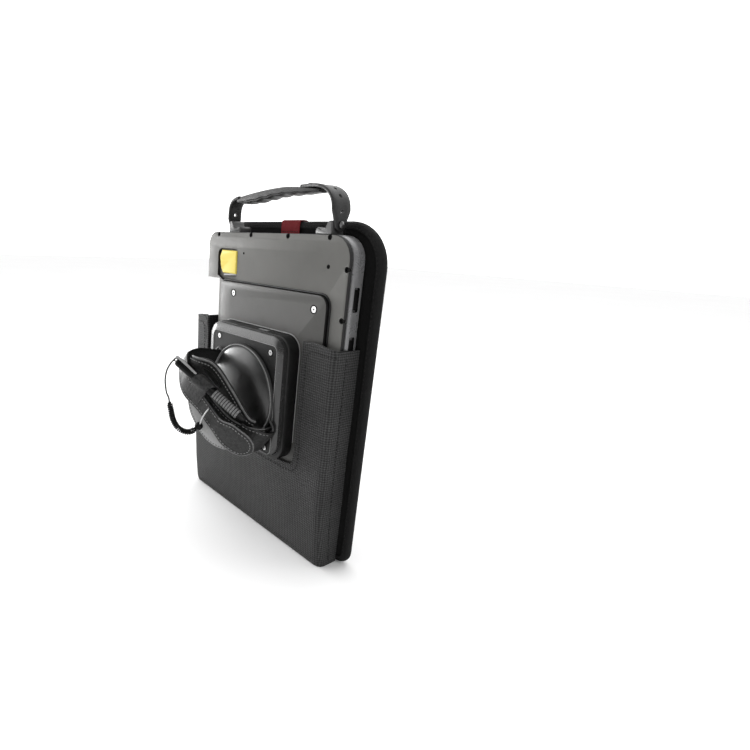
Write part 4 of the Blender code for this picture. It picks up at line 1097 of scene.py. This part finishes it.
def flap_outline(inset, lift, count=70):
    """Round the tongue's edge, from the band along one side, round its end, and back."""
    line = []
    length = flap_band.length
    start = 0.62
    for side in (1, -1):
        part = []
        for i in range(count // 2):
            t = start * i / (count // 2)
            low, high = flap_across(t)
            w = high - inset if side > 0 else low + inset
            part.append((flap_band.at(t, w, lift), flap_band.normal(t)))
        if side > 0:
            line += part
        else:
            tail = part
    low, high = ease(-17.0, -18.0, 1), 12.0
    mid, half = (low + high) / 2, (high - low) / 2 - inset
    span = (1.0 - start) - inset / length
    for i in range(25):
        a = math.pi / 2 - math.pi * i / 24
        t = start + span * math.cos(a)
        line.append((flap_band.at(t, mid + half * math.sin(a), lift), flap_band.normal(t)))
    return line + list(reversed(tail))


# tongue piping in the lighter copy: painted highlight
bead("tongue_piping", flap_outline(0.25, -0.5), 0.7, "piping_highlit", None, FLAP_BLEND)
stitches("tongue_stitch", flap_outline(3.0, 0.35), "thread", None, blend=FLAP_BLEND)
def panel_edge(inset, lift):
    line = []
    for i in range(50):
        t = 0.02 + 0.96 * i / 49
        w = panel_band.across(t)[0] + inset
        line.append((panel_band.at(t, w, lift + panel_curl(t, w)), panel_band.normal(t)))
    return line


panel_line = panel_edge(1.8, 0.05)
stitches("loop_panel_stitch", panel_line, "thread_dark", "swivel", 0.0026, 0.0017, 0.0003)
# loop panel edge in the lighter piping copy: painted highlight
bead("loop_panel_edge", panel_edge(0.1, -0.5), 0.6, "piping_highlit")
# black oval tube on the pad, beside the pen's sleeve: a painted shadow of the gap between sleeve and pad
oval = []
for k in range(28):
    ang = 2 * math.pi * k / 28
    s_here, w_here = -13.0 + 11.0 * math.cos(ang), 11.0 + 3.2 * math.sin(ang)
    near = min(pad_band.points, key=lambda q: abs(q.x - s_here))
    oval.append(L(s_here, w_here, near.y + 0.75))
o = tube("pad_shadow_loop", oval, 0.75 * MM, "plate", "swivel", 8, closed=True)

# ------------------------------------------------------------------ stylus and its holder
ax = (S * sty_dir.x + W * sty_dir.y + H * sty_dir.z).normalized()
a_pt = L(*STYLUS_A)
clip_up = (W * 0.96 + H * 0.28)
clip_up = (clip_up - ax * clip_up.dot(ax)).normalized()
clip_side = ax.cross(clip_up)


def turned(name, profile, material, body, sides=28, smooth=35.0):
    rings = []
    for r, d in profile:
        rings.append([a_pt + ax * d * MM + (clip_up * math.cos(2 * math.pi * k / sides) + clip_side * math.sin(2 * math.pi * k / sides)) * max(r, 0.02) * MM for k in range(sides)])
    return lofted(name, rings, material, body, smooth)


tip_start = sty_len - 7.0
barrel = turned("pen_barrel", [(1.2, 0.0), (2.6, 0.15), (3.6, 0.8), (4.1, 1.8), (4.2, 3.0), (4.2, 5.2), (3.85, 5.4), (3.85, 6.0), (4.2, 6.2), (4.2, 43.6), (4.0, 44.2)], "cord", "stylus")
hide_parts("stylus_barrel")
core = turned("pen_grip_core", [(2.0, 42.9), (3.7, 43.0), (3.7, 70.4), (2.4, 72.6), (1.6, 72.8)], "grip_dark", "stylus")
d = 44.6
k = 0
while d < 71.0:
    rib = turned(f"pen_grip_rib_{k + 1}", [(3.3, d), (4.0, d), (4.2, d + 0.25), (4.2, d + 1.45), (4.0, d + 1.7), (3.3, d + 1.7)], "grip_grey", "stylus", 24)
    d += 2.55
    k += 1
cap_loop = tube("pen_eye", [a_pt - ax * 1.0 * MM + (clip_side * math.cos(a) - ax * math.sin(a) * 1.0) * 1.6 * MM for a in [2 * math.pi * k / 16 for k in range(16)]], 0.55 * MM, "cord", "stylus", 6, closed=True)

clip_rings = []
for d, lift, half in ((-1.5, 3.9, 0.7), (-1.8, 5.0, 1.0), (-0.4, 5.9, 1.15), (4.0, 6.1, 1.2), (12.0, 5.9, 1.15), (18.0, 5.3, 1.05), (21.0, 4.9, 1.0), (22.2, 5.3, 0.8)):
    c = a_pt + ax * d * MM
    clip_rings.append([c + clip_up * (lift + y) * MM + clip_side * x * MM for x, y in ((-half, -0.25), (-half * 0.8, 0.3), (half * 0.8, 0.3), (half, -0.25), (half * 0.8, -0.45), (-half * 0.8, -0.45))])
clip = lofted("pen_clip", clip_rings, "clip", "stylus", 30.0)
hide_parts("stylus_clip")

# leather sleeve sewn to the band, round the pen
holder_rings = []
for i in range(15):
    d = 24.0 + 17.0 * i / 14
    q = STYLUS_A + sty_dir * d
    t = 0.0
    best = min(range(outer_band.rows), key=lambda k: abs(outer_band.points[k].x - q.x))
    hb = outer_band.points[best].y
    r0 = 6.05 + 0.15 * math.sin(i * 0.9)
    path = [(-6.5, hb + 0.45), (-2.0, hb + 0.6), (2.5, hb + 0.8)]
    for k in range(15):
        a = math.radians(128 - 300 * k / 14)
        path.append((q.y + r0 * math.cos(a), q.z + r0 * math.sin(a)))
    inner_path = []
    for k in range(len(path)):
        p0 = Vector(path[max(0, k - 1)])
        p1 = Vector(path[min(len(path) - 1, k + 1)])
        tan = (p1 - p0).normalized()
        inner_path.append(Vector(path[k]) + Vector((tan.y, -tan.x)) * 1.1)
    ring = [L(q.x, w, h) for w, h in path] + [L(q.x, p.x, p.y) for p in reversed(inner_path)]
    holder_rings.append(ring)
holder = lofted("pen_sleeve", holder_rings, "leather", "swivel", 50.0)
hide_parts("pen_holder")

# ------------------------------------------------------------------ carry handle
HINGE_Y, HINGE_Z = BY - 11.5, 288.5
XL, XR = -62.0, 75.0


def band_ring(p, tangent, half, thick):
    normal = Vector((-tangent.z, 0, tangent.x))
    pts = []
    for yy, nn in ((-1, -0.3), (-0.94, -0.85), (-0.8, -1), (-0.4, -0.92), (0, -0.88), (0.4, -0.92), (0.8, -1), (0.94, -0.85), (1, -0.3), (1, 0.3), (0.94, 0.85), (0.8, 1), (0.4, 0.92), (0, 0.88), (-0.4, 0.92), (-0.8, 1), (-0.94, 0.85), (-1, 0.3)):
        pts.append(P(p.x, HINGE_Y, p.z) + Vector((0, yy * half, 0)) * MM + normal * nn * thick / 2 * MM)
    return pts


def handle_band(name, path, full, replaced, narrow=0.0):
    line = smooth_path([(x, 0, z) for x, z in path], 64)
    rings = []
    for i, p in enumerate(line):
        a, b = line[max(0, i - 1)], line[min(len(line) - 1, i + 1)]
        t = (b - a).normalized()
        if p.z < HINGE_Z:
            width = 2 * math.sqrt(max(5.6**2 - (HINGE_Z - p.z) ** 2, 1.6))
        else:
            width = min(full, 11.2 + 0.85 * (p.z - HINGE_Z)) - narrow * min(1.0, max(0.0, (58.0 - p.x) / 22.0))
        rings.append(band_ring(p, t, width / 2, 2.9))
    o = lofted(name, rings, "rubber", "handle", 40.0)
    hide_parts(replaced)
    return o


right_path = [(XR, 283.1), (XR, 286), (XR, 291), (XR, 298.5), (73.4, 306.0), (69.2, 312.0), (62.5, 316.0), (54, 317.8), (45, 318.3), (34, 318.2)]
left_path = [(XL, 283.1), (XL, 286), (XL, 291), (XL, 298.5), (-61.2, 304.0), (-58.4, 308.4), (-53.6, 311.2), (-48.0, 312.4)]
band_right = handle_band("handle_strap_right", right_path, 20.0, "handle_band_right", 7.5)
band_left = handle_band("handle_strap_left", left_path, 15.0, "handle_band_left")


def bore(obj, spots):
    """Round holes through a piece, cut and applied."""
    for k, (centre, axis, radius) in enumerate(spots):
        vv, ff = [], []
        a = Vector(axis).normalized()
        disc(vv, ff, Vector(centre) - a * 6 * MM, radius * MM, 12 * MM, a, 20)
        cutter = piece(f"cutter_{obj.name}_{k}", vv, ff, "painted_hole_shade", None, None)
        mod = obj.modifiers.new("bore", "BOOLEAN")
        mod.operation = "DIFFERENCE"
        mod.solver = "EXACT"
        mod.object = cutter
        bpy.context.view_layer.update()
        me = bpy.data.meshes.new_from_object(obj.evaluated_get(bpy.context.evaluated_depsgraph_get()))
        obj.modifiers.clear()
        obj.data = me
        bpy.data.objects.remove(cutter)


bore(
    band_right,
    [(P(x, HINGE_Y, z), (nx, 0, nz), 1.55) for x, z, nx, nz in ((66.2, 314.6, 0.6, 0.8), (71.9, 309.0, 0.86, 0.5), (74.9, 297.5, 1, 0.05))]
    + [(P(57.0, HINGE_Y, 318.2), (0.25, 0, 1), 1.55), (P(48.5, HINGE_Y, 319.4), (0.05, 0, 1), 1.3)],
)
bore(band_left, [(P(XL, HINGE_Y, 297.2), (1, 0, 0), 1.6)])


GRIP_DEPTH = ((-53.0, 5.2), (-40.0, 8.2), (-24.0, 9.2), (3.0, 7.8), (28.0, 6.4), (45.0, 4.8), (55.5, 3.4))


def grip_section(t):
    x = -52.6 + 107.6 * t
    top = 312.9 + 6.4 * math.sin(math.pi * min(1.0, t / 0.72) / 2) ** 0.9 - (0.0 if t < 0.6 else 9.0 * (t - 0.6) ** 1.2)
    depth = GRIP_DEPTH[-1][1]
    for (xa, da), (xb, db) in zip(GRIP_DEPTH, GRIP_DEPTH[1:]):
        if xa <= x < xb:
            depth = da + (db - da) * (x - xa) / (xb - xa)
    waves = 0.5 * math.sin(2 * math.pi * (t * 7.3 + 0.1)) * math.sin(math.pi * t)
    return x, top, top - depth - waves, 5.6 + 2.8 * math.sin(math.pi * t) ** 0.5


grip_rings = []
for k in range(61):
    gx, top, bottom, half = grip_section(k / 60)
    middle, tall = (top + bottom) / 2, (top - bottom) / 2
    ring = []
    for n in range(32):
        a = 2 * math.pi * n / 32
        c, s = math.cos(a), math.sin(a)
        groove = 0.7 if n in (5, 11, 18, 30) and 0.06 < k / 60 < 0.94 else 0.0
        ring.append(P(gx, HINGE_Y + (half - groove) * math.copysign(abs(c) ** 0.6, c), middle + (tall - groove) * math.copysign(abs(s) ** 0.6, s)))
    grip_rings.append(ring)
grip_obj = lofted("handle_core", grip_rings, "rubber", "handle", 40.0)
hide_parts("handle_grip")

v, f = [], []
disc(v, f, P(40.0, HINGE_Y, 319.3), 2.1 * MM, 1.5 * MM, (0, 0, 1), 20)
stud = piece("handle_button", v, f, "rubber_dark", "handle")
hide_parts("handle_stud")
for foot_name, replaced, sgn, x_band in (("foot_left", "handle_foot_left", -1, XL), ("foot_right", "handle_foot_right", 1, XR)):
    outline = [(0.0, 0.05), (-0.3, 2.2), (0.3, 4.0), (1.6, 5.0), (3.0, 4.7), (4.2, 3.7), (6.0, 3.2), (8.6, 3.6), (10.6, 5.2), (12.0, 8.0), (13.0, 9.7), (14.4, 10.2), (16.6, 10.1), (17.0, 9.6), (17.0, 0.05)]
    sections = []
    for yy, shrink in ((-7.0, 0.7), (-6.6, 0.2), (-6.0, 0.0), (6.0, 0.0), (6.6, 0.2), (7.0, 0.7)):
        ring = []
        for a, b in outline:
            aa = 8.5 + (a - 8.5) * (1 - shrink / 10)
            bb = max(0.05, b - shrink)
            ring.append(P(x_band - sgn * 1.5 - sgn * 17.0 + sgn * aa, HINGE_Y + yy, 281.3 + bb))
        sections.append(ring)
    o = lofted(foot_name, sections, "light", "collector", 40.0)
    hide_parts(replaced)

# ------------------------------------------------------------------ screen side: a plain key mark
v, f = [], []
disc(v, f, P(-76.5, BY - 4.55, 94.0), 2.6 * MM, 0.12 * MM, (0, 1, 0), 20)
key_mark = piece("screen_key_mark", v, f, "thread_dark", "collector")

# ------------------------------------------------------------------ studio
floor_mesh = bpy.data.meshes.new("floor")
floor_mesh.from_pydata([(-6, -6, 0), (6, -6, 0), (6, 6, 0), (-6, 6, 0)], [], [(0, 1, 2, 3)])
floor_shade = Shade("floor_pale", grey(0.9), 0.8)
floor_shade.colour(floor_shade.blend(floor_shade.noise(3.0), grey(0.88), grey(0.92)))
floor_mesh.materials.append(floor_shade.m)
floor = bpy.data.objects.new("floor", floor_mesh)
scene.collection.objects.link(floor)

world = bpy.data.worlds.new("studio")
scene.world = world
world.use_nodes = True
world.node_tree.nodes["Background"].inputs[0].default_value = (1, 1, 1, 1)
sky = world.node_tree
facing = sky.nodes.new("ShaderNodeVectorMath")
facing.operation = "DOT_PRODUCT"
sky.links.new(sky.nodes.new("ShaderNodeTexCoord").outputs["Generated"], facing.inputs[0])
facing.inputs[1].default_value = (-0.8068, 0.5908, 0.0)
fade = sky.nodes.new("ShaderNodeMapRange")
fade.interpolation_type = "SMOOTHSTEP"
sky.links.new(facing.outputs["Value"], fade.inputs["Value"])
for socket, v in (("From Min", -0.35), ("From Max", 0.42), ("To Min", 0.20), ("To Max", 1.9)):
    fade.inputs[socket].default_value = v
sky.links.new(fade.outputs[0], sky.nodes["Background"].inputs[1])


def area(name, place, target, size, power):
    data = bpy.data.lights.new(name, "AREA")
    data.shape = "RECTANGLE"
    data.size, data.size_y = size
    data.energy = power
    o = bpy.data.objects.new(name, data)
    scene.collection.objects.link(o)
    o.location = place
    o.rotation_euler = (Vector(target) - Vector(place)).to_track_quat("-Z", "Y").to_euler()
    return o


area("key_right", (1.6, -0.6, 1.1), (0, 0, 0.15), (1.2, 1.4), 11)
area("fill_left", (-1.3, -1.2, 0.9), (0, 0, 0.15), (1.4, 1.6), 13)
area("rim_left", (-1.3, -0.25, 0.23), (0, -0.03, 0.15), (0.5, 0.44), 9)
area("top", (0.1, -0.2, 1.9), (0, 0, 0.15), (1.8, 1.6), 12)
